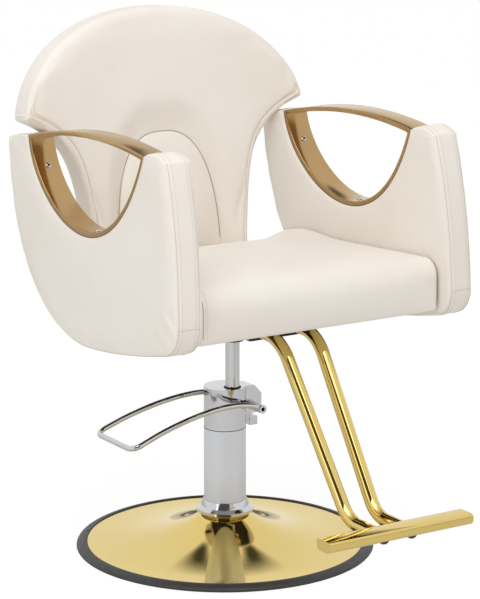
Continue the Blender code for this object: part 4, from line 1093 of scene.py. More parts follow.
def crisp_edges():
    """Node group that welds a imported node's facets and smooths all but its hard edges."""
    name = "crisp_edges"
    known = bpy.data.node_groups.get(name)
    if known:
        return known
    tree = bpy.data.node_groups.new(name, "GeometryNodeTree")
    tree.interface.new_socket("Geometry", in_out="INPUT", socket_type="NodeSocketGeometry")
    tree.interface.new_socket("Geometry", in_out="OUTPUT", socket_type="NodeSocketGeometry")
    start = tree.nodes.new("NodeGroupInput")
    end = tree.nodes.new("NodeGroupOutput")
    clear = tree.nodes.new("GeometryNodeRemoveAttribute")
    clear.inputs["Name"].default_value = "custom_normal"
    weld = tree.nodes.new("GeometryNodeMergeByDistance")
    weld.inputs["Distance"].default_value = SAME_POINT
    faces = tree.nodes.new("GeometryNodeSetShadeSmooth")
    faces.domain = "FACE"
    edges = tree.nodes.new("GeometryNodeSetShadeSmooth")
    edges.domain = "EDGE"
    bend = tree.nodes.new("GeometryNodeInputMeshEdgeAngle")
    gentle = tree.nodes.new("FunctionNodeCompare")
    gentle.operation = "LESS_THAN"
    gentle.inputs["B"].default_value = SMOOTH_BELOW
    tree.links.new(start.outputs[0], clear.inputs["Geometry"])
    tree.links.new(clear.outputs["Geometry"], weld.inputs["Geometry"])
    tree.links.new(weld.outputs["Geometry"], faces.inputs["Geometry"])
    tree.links.new(faces.outputs["Geometry"], edges.inputs["Geometry"])
    tree.links.new(bend.outputs["Unsigned Angle"], gentle.inputs["A"])
    tree.links.new(gentle.outputs["Result"], edges.inputs["Shade Smooth"])
    tree.links.new(edges.outputs["Geometry"], end.inputs[0])
    return tree


def dress_node(name, kind, edge=None):
    """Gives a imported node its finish, smooth curves and slightly broken edges."""
    node = NODES[name]
    for holder in node.material_slots:
        holder.material = material_of(kind)
    smooth = node.modifiers.new("crisp_edges", "NODES")
    smooth.node_group = crisp_edges()
    if edge is None:
        edge = settings().metal.edge
    if edge:
        bevel = node.modifiers.new("broken_edges", "BEVEL")
        bevel.width = edge
        bevel.segments = 2
        bevel.limit_method = "ANGLE"
        bevel.angle_limit = BROKEN_OVER
        bevel.harden_normals = True


def back_surface(x, z):
    """The y of the back's front at a height."""
    back = settings().back
    return back.foot_y + (z - back.foot_z) * math.tan(back.lean) - back.wrap * x * x


def back_frame():
    back = settings().back
    return Matrix.Translation((0, back.foot_y, back.foot_z)) @ Matrix.Rotation(-back.lean, 4, "X")


def stem_half_width(s):
    back = settings().back
    flare = back.flare * math.exp((s - back.tip) / back.flare_length)
    return back.stem + back.taper * max(s, 0) + flare


def cap_point(u, margin):
    """A point on the back's dome drawn in by a margin: the right tip at -1, the left tip at 1."""
    back = settings().back
    wide = back.dome_half_width - margin
    rise = back.dome_rise - margin
    tip = back.tip + back.tip_round + TIP_RISE * margin
    reach = math.acos(((tip - back.dome_centre) / rise) ** (back.dome_shape / 2))
    across = math.sin(u * reach)
    x = math.copysign(abs(across) ** (2 / back.dome_shape), across)
    return wide * x, back.dome_centre + rise * math.cos(u * reach) ** (2 / back.dome_shape)


def back_point(u, share, margin):
    """A point (x, s) of the back drawn in by a margin: u runs across, share runs up."""
    back = settings().back
    bottom = back.bottom + margin
    top = back.dome_centre + back.dome_rise - margin
    tip_x, tip_s = cap_point(1, margin)
    cap_x, cap_s = cap_point(u, margin)
    side = bottom + (tip_s - bottom) * math.sin(share * math.pi / 2)
    crest = bottom + (top - bottom) * share
    half = tip_x
    if share < 1:
        half = stem_half_width(min(side - TIP_RISE * margin, back.tip)) - margin
    if margin:
        half = min(half, tip_x)
    return half * cap_x / tip_x, side + (crest - side) * (cap_s - tip_s) / (top - tip_s)


def lumbar_ring(x, s):
    """1 on the lumbar pad's outline, less inside it, more outside it."""
    lumbar = settings().lumbar
    up = max(s - lumbar.bottom, 0) / (lumbar.top - lumbar.bottom)
    across = abs(x) / lumbar.half_width
    return (up**lumbar.shape + across**lumbar.shape) ** (1 / lumbar.shape)


def lumbar_sink(x, s):
    """How far the back's front sinks towards the seam round the lumbar pad."""
    lumbar = settings().lumbar
    away = clamp((lumbar_ring(x, s) - 1) / lumbar.spread)
    return lumbar.sink * (1 - away) ** 2 * (1 + 2 * away)


def lumbar_point(u, share, margin):
    """A point (x, s) of the lumbar pad drawn in by a margin: u runs across, share runs up."""
    lumbar = settings().lumbar
    wide = lumbar.half_width - margin
    low = lumbar.bottom
    rise = lumbar.top - margin - low
    bend = 2 / lumbar.shape

    def rim(turn):
        across = math.sin(turn)
        up = max(math.cos(turn), 0) ** bend
        return wide * math.copysign(abs(across) ** bend, across), low + rise * up

    side_x, side_s = rim(math.pi / 2 + (LUMBAR_SHOULDER - math.pi / 2) * share)
    corner_x, corner_s = rim(LUMBAR_SHOULDER)
    arch_x, arch_s = rim(u * LUMBAR_SHOULDER)
    lift = (arch_s - corner_s) / (low + rise - corner_s)
    return side_x * arch_x / corner_x, side_s + (low + rise * share - side_s) * lift


def cover_seat():
    seat = settings().seat
    rear = settings().back.foot_y - SEAT_BACK_GAP
    top_front = seat.edge_height - seat.slope * seat.front
    top_rear = seat.edge_height - seat.slope * rear
    corners = [
        (seat.front, seat.floor),
        (rear, seat.floor),
        (rear, top_rear),
        (seat.front, top_front),
    ]
    radii = (seat.low_roll, seat.low_roll, seat.rear_roll, seat.front_roll)
    profile = rounded_loop(corners, radii, SEAT_PITCH)

    flat = seat.half_width - seat.side_roll
    edge = [(flat - inward, 0.0) for inward in STRIP_COLUMNS]
    for turn in quarter(RIM_STEPS):
        margin = seat.side_roll * (1 - math.cos(turn))
        edge.append((flat + seat.side_roll * math.sin(turn), margin))
    inner = flat - MIDDLE_INSET
    columns = [(-x, margin) for x, margin in reversed(edge)]
    columns += [(float(x), 0.0) for x in np.linspace(-inner, inner, MIDDLE_COLUMNS)]
    columns += edge

    def at(x, y, z):
        share = (z - seat.floor) / (seat.edge_height - seat.slope * y - seat.floor)
        across = abs(x) / seat.half_width
        corner = max(abs(x) - seat.corner_start, 0) / (seat.half_width - seat.corner_start)
        run = (y - seat.front) / (rear - seat.front)
        along = min(abs(2 * run - 1), 1)
        lift = seat.crown * (1 - across**4) * (1 - along**4)
        lift += seat.side_rise * corner * math.exp(-(((y - SIDE_RISE_Y) / SIDE_RISE_SPREAD) ** 2))
        if run > 0.5:
            fade = max(abs(x) - seat.drop_width, 0) / (seat.half_width - seat.drop_width)
            lift -= seat.rear_drop * (1 - fade) * along**4
        bulge = seat.bulge * 4 * max(share * (1 - share), 0) * (1 - across**4)
        bulge *= max(0, 1 - (y - seat.front) / FRONT_BULGE_DEPTH) ** 2
        deep = back_surface(x, z) - SEAT_BACK_GAP + seat.corner * corner - seat.front
        return x, seat.front + deep * run - bulge, z + lift * max(share, 0)

    rings = [[at(x, y, z) for y, z in inset(profile, margin)] for x, margin in columns]
    for end in (0, -1):
        rim = np.array(rings[end])
        heart = rim.mean(axis=0)
        inner = []
        for share in END_RINGS:
            inner.append([tuple(point) for point in heart + (rim - heart) * share])
        rings = rings + inner if end else inner[::-1] + rings
    mesh = ring_skin("seat_cover", rings)
    piece = new_piece("seat_cover", mesh, LEATHER)

    points = points_of(mesh)
    low = points[:, 2] < seat.floor + SEAT_HELD_LOW
    ends = np.abs(points[:, 0]) > flat + SEAT_HELD_END
    behind = points[:, 1] > rear - SEAT_HELD_REAR - settings().back.wrap * points[:, 0] ** 2
    front = points[:, 1] < seat.front + SEAT_FRONT_DEPTH
    reach = np.where(front, SEAT_FRONT_REACH, SEAT_REACH)
    stuff(piece, np.flatnonzero(low | ends | behind), reach)

    over, before = seat.floor + SEAT_SEWN_OVER, rear - SEAT_SEWN_BEFORE
    shown = [i for i, (y, z) in enumerate(profile) if z > over and y < before]

    def lines(columns):
        return [[column * len(profile) + i for i in shown] for column in columns]

    # The photo shows a seam only at the sitter's right end; the left one lies at the edge's turn
    first = len(END_RINGS)
    last = first + len(columns) - 1
    seams = lines((first + SEAM_RIGHT, last - SEAM_LEFT))
    rows = lines((first + STITCHES_RIGHT, last - STITCHES_LEFT))
    press(mesh, np.array(seams[0] + seams[1]), settings().sewing.groove * SEAT_GROOVE)
    subdivide(piece)
    return piece, seams, rows


def dress_seat():
    """Seat cover over its foam, with a sewn strip at each side."""
    piece, seams, rows = cover_seat()
    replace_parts(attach(piece, "seat"), "seat_cushion")
    stitched = [line_on(piece.data, row, THREAD_LIFT) for row in rows]
    welted = [line_on(piece.data, seam, LOW_WELT_LIFT)[0] for seam in seams]
    # The end seams' dark rods are painted shade in those seams
    add_sewing("seat_seams", "seat", stitched, welted, SEAM_SHADE)


def cover_back():
    back = settings().back
    place = back_frame()
    turns = [float(turn) for turn in quarter(BACK_RIM_STEPS)]
    through = [("front", turn) for turn in turns] + [("side", share) for share in BACK_SIDE_STEPS]
    rear_start = len(through)
    through += [("rear", turn) for turn in reversed(turns)]

    def at(u, v, rim):
        part, value = rim
        share = (v + 1) / 2
        over = (1 - u**4) * share**3
        soft = back.rim + (back.dome_rim - back.rim) * over
        reach = back.rim + (back.dome_reach - back.rim) * over
        margin = 0.0
        if part == "front":
            margin, deep = reach * (1 - math.sin(value)), soft * (1 - math.cos(value))
        elif part == "side":
            deep = soft + (back.depth - soft - back.rear_rim) * value
        else:
            margin = back.rear_rim * (1 - math.sin(value))
            deep = back.depth - back.rear_rim * (1 - math.cos(value))
        x, s = back_point(u, share, margin)
        depth = deep - back.wrap * x * x
        if rim == through[0]:
            depth += lumbar_sink(x, s) + BACK_SEAM_STEP * (1 - over)
        return place @ Vector((x, depth, s))

    def freedom(x, s):
        """0 at the lumbar pad and at the foot, 1 well away from both."""
        clear = clamp((lumbar_ring(x, s) - LUMBAR_HELD) / LUMBAR_FREE)
        return clear * clamp(s / BACK_FOOT_HELD)

    across = steps(BACK_STEPS, BACK_BORDER)
    up = steps(BACK_STEPS, BACK_BORDER)
    mesh, numbers = block_skin("back_cover", across, up, through, at)
    piece = new_piece("back_cover", mesh, LEATHER)
    last_u, last_v = len(across) - 1, len(up) - 1
    seam = [n for (i, j, k), n in numbers.items() if k == 0 and (i in (0, last_u) or j == 0)]
    behind = [n for (i, j, k), n in numbers.items() if k > rear_start]
    local = [place.inverted() @ Vector(point) for point in points_of(mesh)]
    free = np.array([freedom(point.x, point.z) for point in local])
    stuff(piece, seam + behind, BACK_REACH * free)
    press(mesh, np.array(seam), settings().sewing.groove)
    subdivide(piece)
    seams = [[numbers[(i, j, 0)] for j in range(last_v + 1)] for i in (0, last_u)]
    rows = [[numbers[(i, j, 0)] for j in range(last_v - 1)] for i in (2, last_u - 2)]
    return piece, seams, rows


def dress_back():
    """Back cover, sewn along its stem and under its wings."""
    piece, seams, rows = cover_back()
    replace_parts(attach(piece, "seat"), "back_cushion")
    stitched = [line_on(piece.data, row, THREAD_LIFT) for row in rows]
    welted = [line_on(piece.data, seam, WELT_LIFT)[0] for seam in seams]
    add_sewing("back_seams", "seat", stitched, welted)


def dress_rear_panel():
    """Padded panel that closes the back behind."""
    back = settings().back
    place = back_frame()
    through = rim_steps(PANEL_DEPTH, *PANEL_RIMS, ())

    def at(u, v, rim):
        margin, deep = rim
        x, s = back_point(u, (v + 1) / 2, PANEL_MARGIN + margin)
        return place @ Vector((x, back.depth - PANEL_SUNK + deep - back.wrap * x * x, s))

    across = steps(PANEL_ACROSS, PANEL_BORDER)
    up = steps(PANEL_UP, PANEL_BORDER)
    mesh, numbers = block_skin("rear_panel", across, up, through, at)
    piece = new_piece("rear_panel", mesh, LEATHER)
    last_u, last_v, last = len(across) - 1, len(up) - 1, len(through) - 1
    held = [n for (i, j, k), n in numbers.items() if k < last]
    stuff(piece, held, PANEL_REACH)
    subdivide(piece)
    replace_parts(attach(piece, "seat"), "back_panel")
    border = [numbers[(1, j, last)] for j in range(1, last_v)]
    border += [numbers[(i, last_v - 1, last)] for i in range(1, last_u)]
    border += [numbers[(last_u - 1, j, last)] for j in range(last_v - 1, 0, -1)]
    border += [numbers[(i, 1, last)] for i in range(last_u - 1, 0, -1)]
    add_sewing("rear_panel", "seat", [line_on(mesh, border, THREAD_LIFT)])


def dress_lumbar():
    """Bulging lumbar pad in the middle of the back."""
    lumbar = settings().lumbar
    back = settings().back
    place = back_frame()

    def at(u, v, rim):
        margin, share = rim
        x, s = lumbar_point(u, (v + 1) / 2, margin)
        rear = lumbar.sink - back.wrap * x * x + LUMBAR_BEDDING
        tuck = math.sin(clamp((s - lumbar.bottom) / lumbar.tuck) * math.pi / 2)
        swell = lumbar.edge + lumbar.bulge * max(1 - lumbar_ring(x, s) ** 3, 0) * tuck
        return place @ Vector((x, rear - (swell + LUMBAR_OVERLAP) * share, s))

    across = steps(LUMBAR_ACROSS, LUMBAR_BORDER)
    up = steps(LUMBAR_UP, LUMBAR_BORDER)
    mesh, numbers = block_skin("lumbar_cover", across, up, LUMBAR_RIM, at)
    piece = new_piece("lumbar_cover", mesh, LEATHER)
    last_u, last_v = len(across) - 1, len(up) - 1

    def is_held(i, j, k):
        return k > 0 or i in (0, last_u) or j < 2 or j == last_v

    stuff(piece, sorted(n for key, n in numbers.items() if is_held(*key)), LUMBAR_REACH)
    subdivide(piece)
    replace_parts(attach(piece, "seat"), "back_lumbar")

    foot = len(LUMBAR_RIM) - 3
    arch = [numbers[(0, j, foot)] for j in range(3, last_v)]
    arch += [numbers[(i, last_v, foot)] for i in range(last_u)]
    arch += [numbers[(last_u, j, foot)] for j in range(last_v, 2, -1)]
    welt, _ = line_on(mesh, arch, LUMBAR_WELT_LIFT)
    # A dark rod in the seam: painted shade in the crease round the pad
    add_sewing("lumbar_seam", "seat", [], [welt], SEAM_SHADE)


def arm_edge():
    """The arm's outer edge in the side view, from the front post's top to the rear post's."""
    arm = settings().arm
    curves = (
        [arm.post_corner, arm.front_swell, arm.front_foot],
        [arm.front_foot, arm.toe_corner, arm.toe],
        [arm.toe, arm.keel, arm.lowest],
        [arm.lowest, arm.rear_belly, arm.rear_swell, arm.rear_top],
    )
    path = []
    for controls, count in zip(curves, ARM_EDGE_STEPS):
        path = path[:-1] + list(bezier(controls, count))
    return spaced(path, ARM_STEPS)


def arm_scoop(count):
    arm = settings().arm
    controls = [arm.scoop_front, arm.scoop_front_pull, arm.scoop_rear_pull, arm.scoop_rear]
    return spaced(bezier(controls, SCOOP_FINE_STEPS), count)


def arm_arch(count):
    arm = settings().arm
    return bezier([arm.scoop_rear, arm.arch_peak, arm.scoop_front], count)


def arm_frame(way):
    arm = settings().arm
    lean = Matrix.Rotation(-way * arm.lean, 4, "Y")
    lift = Matrix.Translation((way * arm.inner, 0, arm.reference))
    return lift @ lean @ Matrix.Translation((0, 0, -arm.reference))


def cover_arm(name, way):
    arm = settings().arm
    sewing = settings().sewing
    place = arm_frame(way)
    edge = arm_edge()
    bed = arm_scoop(ARM_STEPS)
    run = np.linalg.norm(np.diff(edge, axis=0), axis=1).sum()
    thick = arm.thickness
    seam = arm.rim + ARM_SEAM_SIDE
    stitch = arm.rim + sewing.inset
    between = (seam, stitch, thick / 2, thick - stitch, thick - arm.rim - ARM_SEAM_SIDE)
    through = rim_steps(thick, arm.rim, arm.rim, between)
    crossing = next(i for i, point in enumerate(edge) if point[1] < arm.seam_height)
    crossing /= len(edge) - 1
    shifts = (-ARM_SEAM_SIDE, 0.0, ARM_SEAM_SIDE)
    near = [2 * crossing - 1 + 2 * shift / run for shift in shifts]
    along = steps(ARM_ALONG, ARM_ENDS)
    along = [u for u in along if min(abs(u - n) for n in near) > ARM_CROSS_CLEAR]
    along = sorted(along + near)
    upward = steps(ARM_UP, ARM_BORDER)

    def at(u, v, rim):
        margin, deep = rim
        start = margin / run
        t = start + (1 - 2 * start) * (u + 1) / 2
        outer = at_share(edge, t)
        inner = at_share(bed, t)
        gap = np.linalg.norm(inner - outer)
        share = margin / gap + (1 - 2 * margin / gap) * (v + 1) / 2
        y, z = outer + (inner - outer) * share
        bow = 4 * share * (1 - share)
        z += arm.post_crown * bow * max(0, 1 - t / ARM_POST_SHARE) ** 2
        z += arm.rear_crown * bow * max(0, 1 - (1 - t) / ARM_POST_SHARE) ** 2
        return place @ Vector((way * deep, y, z))

    mesh, numbers = block_skin(name, along, upward, through, at)
    piece = new_piece(name, mesh, LEATHER)
    last_u, last_v, last = len(along) - 1, len(upward) - 1, len(through) - 1
    seams = (RIM_STEPS - 1, last - RIM_STEPS + 1)
    rows = (RIM_STEPS + 1, last - RIM_STEPS - 1)
    cross = along.index(near[1])

    def numbered(test):
        return [n for key, n in numbers.items() if test(*key)]

    pressed = numbered(lambda i, j, k: k in seams and (j == 0 or i in (0, last_u)))
    across = numbered(lambda i, j, k: i == cross and j == 0 and seams[0] < k < seams[1])
    held = pressed + across + numbered(lambda i, j, k: j == last_v)
    points = points_of(mesh)
    reach = np.full(len(points), ARM_REACH)
    reach[numbered(lambda i, j, k: k == 0)] = ARM_INNER_REACH
    beside_seat = (points[:, 2] < ARM_SEAT_HEIGHT) & (np.abs(points[:, 0]) < ARM_SEAT_SIDE)
    reach[beside_seat] *= ARM_SEAT_REACH
    stuff(piece, sorted(set(held)), reach)
    press(mesh, np.array(pressed), sewing.groove)
    press(mesh, np.array(across), sewing.groove * CROSS_GROOVE)
    subdivide(piece)

    def border(k):
        row = [numbers[(0, j, k)] for j in range(last_v, 0, -1)]
        row += [numbers[(i, 0, k)] for i in range(last_u)]
        return row + [numbers[(last_u, j, k)] for j in range(last_v + 1)]

    cross_row = [numbers[(cross, 0, k)] for k in range(seams[0], seams[1] + 1)]
    stitched = [line_on(mesh, border(k), THREAD_LIFT) for k in rows]
    welted = [line_on(mesh, border(k), WELT_LIFT)[0] for k in seams]
    welted.append(line_on(mesh, cross_row, LOW_WELT_LIFT)[0])
    return piece, stitched, welted


def dress_arms():
    """Arm covers with their sewn edges."""
    for side, way in SIDES:
        piece, stitched, welted = cover_arm(f"arm_cover_{side}", way)
        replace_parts(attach(piece, "seat"), f"arm_pad_{side}")
        add_sewing(f"arm_seams_{side}", "seat", stitched, welted)


def add_painted_strap_shade(side, way, path):
    """Thin dark rods along a strap's edges, painted shade for the gap between strap and leather."""
    arm = settings().arm
    rods = []
    for i, edge in enumerate((-1, 1)):
        x = way * arm.thickness / 2 + edge * (arm.strap_width / 2 - STRAP_SHADE_INSET)
        line = [arm_frame(way) @ Vector((x, y, z)) for y, z in path]
        rods.append(rod_skin(f"strap_gap_{side}_{i}", line, STRAP_SHADE_RADIUS, sides=1))
    gap = new_piece(f"strap_gap_{side}", join_meshes(f"strap_gap_{side}", rods), PAINTED_STRAP_SHADE)
    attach(gap, "seat")


def add_screw(node, way, share):
    """A socket screw in a strap: a domed head with a black hexagon in its socket as painted shade.
    """
    arm = settings().arm
    path = arm_scoop(ARM_STEPS)
    y, z = at_share(path, share)
    run = at_share(path, share + SCREW_NEARBY) - at_share(path, share - SCREW_NEARBY)
    normal = Vector((0, -run[1], run[0])).normalized()
    foot = Vector((way * arm.thickness / 2, y, z)) + normal * (arm.strap_thickness - SCREW_SUNK)
    turned = normal.to_track_quat("Z", "Y").to_matrix().to_4x4()
    place = arm_frame(way) @ Matrix.Translation(foot) @ turned
    profile = [(SCREW_RADIUS, 0.0)]
    for turn in SCREW_DOME_TURNS:
        profile.append((SCREW_RADIUS * math.cos(turn), SCREW_RIM + SCREW_DOME * math.sin(turn)))
    profile += SCREW_SOCKET
    mesh = turned_skin(node + "_head", profile, (0, 0), SCREW_FACETS)
    mesh.transform(place)
    head = new_piece(node + "_head", mesh, CHROME)
    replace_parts(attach(head, "seat"), node)
    # The black hexagon is painted shade in the socket's hole
    socket = turned_skin(node + "_socket", SCREW_SHADE_HEXAGON, (0, 0), 6)
    socket.transform(place)
    painted_socket_shade = new_piece(node + "_socket", socket, COAT)
    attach(painted_socket_shade, "seat")


def dress_straps():
    """Brushed metal loops in the arms and their screws."""
    arm = settings().arm
    thick = arm.strap_thickness
    low = arm_scoop(SCOOP_STEPS)
    high = arm_arch(ARCH_STEPS)

    def shifted(path):
        run = np.gradient(path, axis=0)
        run /= np.linalg.norm(run, axis=1)[:, None]
        return path + np.stack([-run[:, 1], run[:, 0]], axis=1) * thick

    def clear_of(path, other):
        gaps = np.linalg.norm(path[:, None, :] - other[None, :, :], axis=2).min(axis=1)
        return path[gaps > thick * STRAP_CLEAR]

    outer = list(low[:-1]) + list(high[:-1])
    inner = list(clear_of(shifted(low), high)) + list(clear_of(shifted(high), low))
    sideways = Matrix(((0, 0, 1, 0), (1, 0, 0, 0), (0, 1, 0, 0), (0, 0, 0, 1)))
    for side, way in SIDES:
        mesh = plate_skin(f"strap_{side}", [outer, inner], arm.strap_width, arm.strap_edge)
        middle = Matrix.Translation((way * arm.thickness / 2, 0, 0))
        mesh.transform(arm_frame(way) @ middle @ sideways)
        strap = new_piece(f"strap_{side}", mesh, BRONZE_GOLD)
        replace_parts(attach(strap, "seat"), f"arm_loop_{side}")
        # Dark rods that paint the shade in the gap under the strap's edges
        add_painted_strap_shade(side, way, low)
        for i, share in ((1, arm.low_screw), (2, arm.high_screw)):
            add_screw(f"arm_screw_{side}_{i}", way, share)


def turned_centre(low, high):
    return (low.x + high.x) / 2, (low.y + high.y) / 2


def dress_base():
    """Gold base cover, its rubber ring and the steel under it."""
    low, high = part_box("base_dome")
    centre = turned_centre(low, high)
    sleeve_low, sleeve_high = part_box("pump_sleeve")
    neck = (sleeve_high.x - sleeve_low.x) / 2 + BASE_NECK_GAP
    edge = (high.x - low.x) / 2
    floor, top = low.z, high.z
    outer = []
    for share in np.linspace(0, 1, BASE_RINGS):
        radius = neck + (edge - neck) * share**BASE_CROWDING
        near = (edge - radius) / (edge - neck)
        rise = sum(part * near**bend for part, bend in BASE_CURVES)
        outer.append((radius, BASE_BRIM + (top - BASE_BRIM) * rise))
    inner = [(radius, height - BASE_SHEET) for radius, height in outer[-2::-4]]
    profile = outer + [(edge, floor), (edge - BASE_SHEET, floor)] + inner
    profile.append((neck, top - BASE_SHEET))
    dome = new_piece("base_cover", turned_skin("base_cover", profile, centre, BASE_FACETS), GOLD)
    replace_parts(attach(dome, "base"), "base_dome")

    low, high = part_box("base_trim_ring")
    outside = (high.x - low.x) / 2
    rise = high.z
    inside = edge + TRIM_GAP
    crest = rise * TRIM_CREST
    side = [(outside, rise * share) for share in TRIM_SIDE]
    curve = bezier(side + [(inside + TRIM_CREST_INSET, crest)], TRIM_STEPS)
    profile = [(inside, crest * TRIM_INNER_TOP), (inside, low.z)]
    profile.append((outside - TRIM_FOOT_INSET, low.z))
    profile += [tuple(point) for point in curve]
    profile.append((inside + TRIM_LIP_INSET, crest * TRIM_LIP))
    ring = new_piece("base_ring", turned_skin("base_ring", profile, centre, BASE_FACETS), RUBBER)
    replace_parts(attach(ring, "base"), "base_trim_ring")

    dress_node("base_plate", STEEL)
    dress_node("pump_foot", STEEL)
    for i in BOLTS:
        dress_node(f"pump_foot_bolt_{i}", STEEL)


def add_spring():
    """The plunger's return spring, which shortens as the plunger goes down."""
    metal = settings().metal
    low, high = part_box("plunger_spring")
    middle = (low + high) / 2
    radius = (high.x - low.x) / 2 - metal.spring_wire
    foot = low.z + metal.spring_wire
    rise = high.z - metal.spring_wire - foot
    path = []
    for i in range(SPRING_STEPS + 1):
        turn = 2 * SPRING_TURNS * math.pi * i / SPRING_STEPS
        x, y = middle.x + radius * math.cos(turn), middle.y + radius * math.sin(turn)
        path.append((x, y, foot + rise * i / SPRING_STEPS))
    coil = rod_skin("return_spring", path, metal.spring_wire, 2)
    spring = new_piece("return_spring", coil, STEEL)
    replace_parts(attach(spring, "base"), "plunger_spring")
    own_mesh(spring)


def dress_pump():
    """Pump column: sleeve, chrome head and collar, and the ram's seals."""
    dress_node("pump_sleeve", SLEEVE, edge=0.0004)
    dress_node("pump_head", CHROME, edge=0.0009)
    dress_node("pump_collar", CHROME, edge=0.0005)
    # A thin dark ring at the head and sleeve joint: painted shade in the joint
    low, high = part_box("pump_sleeve")
    out = (high.x - low.x) / 2
    inside, outside = out - JOINT_SHADE_DEPTH, out + JOINT_SHADE_PROUD
    bottom, top = high.z - JOINT_SHADE_HALF_HEIGHT, high.z + JOINT_SHADE_HALF_HEIGHT
    line = [(inside, bottom), (outside, bottom), (outside, top), (inside, top)]
    ring = turned_skin("head_gasket", line, turned_centre(low, high), JOINT_SHADE_FACETS)
    joint_shade = new_piece("head_gasket", ring, RUBBER)
    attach(joint_shade, "base")
    dress_node("pump_cylinder", STEEL, edge=0)
    dress_node("rod_bush", BUSH, edge=0)
    dress_node("rod_wiper", RUBBER, edge=0.0003)
    add_spring()
    dress_node("pump_plunger", STEEL, edge=0.0003)
    dress_node("piston", STEEL, edge=0.0003)
    dress_node("piston_seal", RUBBER, edge=0.0003)
    dress_node("piston_rod", CHROME, edge=0.0003)


def dress_lever():
    """Foot lever: a bent rod on its cross tube."""
    metal = settings().metal
    low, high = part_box("lever_shaft")
    axis = (low + high) / 2
    tip = (-metal.lever_reach, -metal.lever_drop)
    climb = (-LEVER_CLIMB * metal.lever_reach, metal.lever_rise)
    pull = (-LEVER_PULL[0] * metal.lever_reach, LEVER_PULL[1] * metal.lever_rise)
    side = bezier([(0, 0), climb, pull, tip], LEVER_STEPS)[:-LEVER_CORNER_STEPS]
    start = Vector(climb).normalized() * (metal.shaft_radius - LEVER_SUNK)

    def spread(x):
        return metal.lever_half_width + metal.lever_spread * abs(x) / metal.lever_reach

    near = [(start.x, -metal.lever_half_width, start.y)]
    near += [(x, -spread(x), z) for x, z in side if math.hypot(x, z) > 2 * metal.shaft_radius]
    far = [(x, -y, z) for x, y, z in reversed(near)]
    corners = [near[-1]]
    corners += [(tip[0], way * spread(tip[0]), tip[1]) for way in (-1, 1)]
    corners.append(far[0])
    bends = (metal.lever_corner, metal.lever_corner)
    path = near[:-1] + bent(corners, bends, LEVER_BEND_STEPS) + far[1:]
    path = [Vector(point) + axis for point in path]
    rod = new_piece("lever_rod", rod_skin("lever_rod", path, metal.lever_wire), CHROME)
    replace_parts(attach(rod, "lever"), "lever_loop")
    dress_node("lever_shaft", CHROME)
    dress_node("lever_cam", CHROME)


def dress_footrest():
    """Footrest: two bent tubes, the bar, its plugs and the clamp."""
    metal = settings().metal
    top_x, top_z = metal.tube_top
    low_x, low_z = metal.tube_low
    for side, way in SIDES:
        corners = [
            (way * top_x, metal.tube_rear, top_z),
            (way * top_x, metal.tube_knee, top_z),
            (way * low_x, metal.tube_ankle, low_z),
            (way * low_x, metal.tube_front, low_z),
        ]
        path = bent(corners, (metal.knee_bend, metal.ankle_bend), TUBE_BEND_STEPS)
        mesh = rod_skin(f"gold_tube_{side}", path, metal.tube, TUBE_SIDES)
        tube = new_piece(f"gold_tube_{side}", mesh, GOLD)
        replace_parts(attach(tube, "seat"), f"footrest_tube_{side}")
        dress_node(f"footrest_plug_{side}", RUBBER, edge=0.0004)
    dress_node("footrest_bar", GOLD, edge=0.0012)
    dress_node("footrest_clamp", COAT)
    dress_node("footrest_clamp_bolt", COAT, edge=0.0003)


def dress_underside():
    """Boards, plates, hub and brackets under and behind the seat."""
    # The near-black boards are painted shade under the seat
    dress_node("seat_board", PLYWOOD)
    dress_node("back_board", PLYWOOD)
    dress_node("seat_plate", COAT)
    dress_node("seat_hub", COAT)
    for i in BOLTS:
        dress_node(f"seat_plate_bolt_{i}", STEEL)
    for side, _ in SIDES:
        dress_node(f"back_bracket_{side}", COAT)
        dress_node(f"back_bracket_bolt_{side}", STEEL)
        dress_node(f"arm_bracket_{side}", COAT)
        for i in (1, 2):
            dress_node(f"arm_bolt_{side}_{i}", STEEL)


def combine(tree, operation, first, second):
    """A math node of two values, each a number or a socket."""
    node = tree.nodes.new("ShaderNodeMath")
    node.operation = operation
    for socket, value in zip(node.inputs, (first, second)):
        if isinstance(value, float):
            socket.default_value = value
        else:
            tree.links.new(value, socket)
    return node.outputs[0]


def mix_into(tree, output, share, first, second):
    """Mixes two shaders by a share and joins them to the tree's output."""
    mix = tree.nodes.new("ShaderNodeMixShader")
    tree.links.new(share, mix.inputs["Fac"])
    tree.links.new(first.outputs[0], mix.inputs[1])
    tree.links.new(second.outputs[0], mix.inputs[2])
    tree.links.new(mix.outputs[0], tree.nodes[output].inputs["Surface"])


def seen_rays(tree, kinds):
    """1 for camera rays and rays of the listed kinds, 0 for the others."""
    rays = tree.nodes.new("ShaderNodeLightPath")
    found = rays.outputs["Is Camera Ray"]
    for kind in kinds:
        found = combine(tree, "MAXIMUM", found, rays.outputs[kind])
    return found


def add_sky():
    world = bpy.data.worlds.new("studio_sky")
    bpy.context.scene.world = world
    world.use_nodes = True
    tree = world.node_tree
    soft = tree.nodes["Background"]
    soft.inputs["Color"].default_value = SKY_TINT
    soft.inputs["Strength"].default_value = settings().studio.sky
    white = tree.nodes.new("ShaderNodeBackground")
    white.inputs["Color"].default_value = (1, 1, 1, 1)
    white.inputs["Strength"].default_value = 1.0
    seen = seen_rays(tree, ("Is Glossy Ray", "Is Transmission Ray"))
    mix_into(tree, "World Output", seen, soft, white)


def flat_mesh(name, x, y, height):
    mesh = bpy.data.meshes.new(name)
    corners = [(-x, -y, height), (x, -y, height), (x, y, height), (-x, y, height)]
    mesh.from_pydata(corners, [], [(0, 1, 2, 3)])
    return mesh


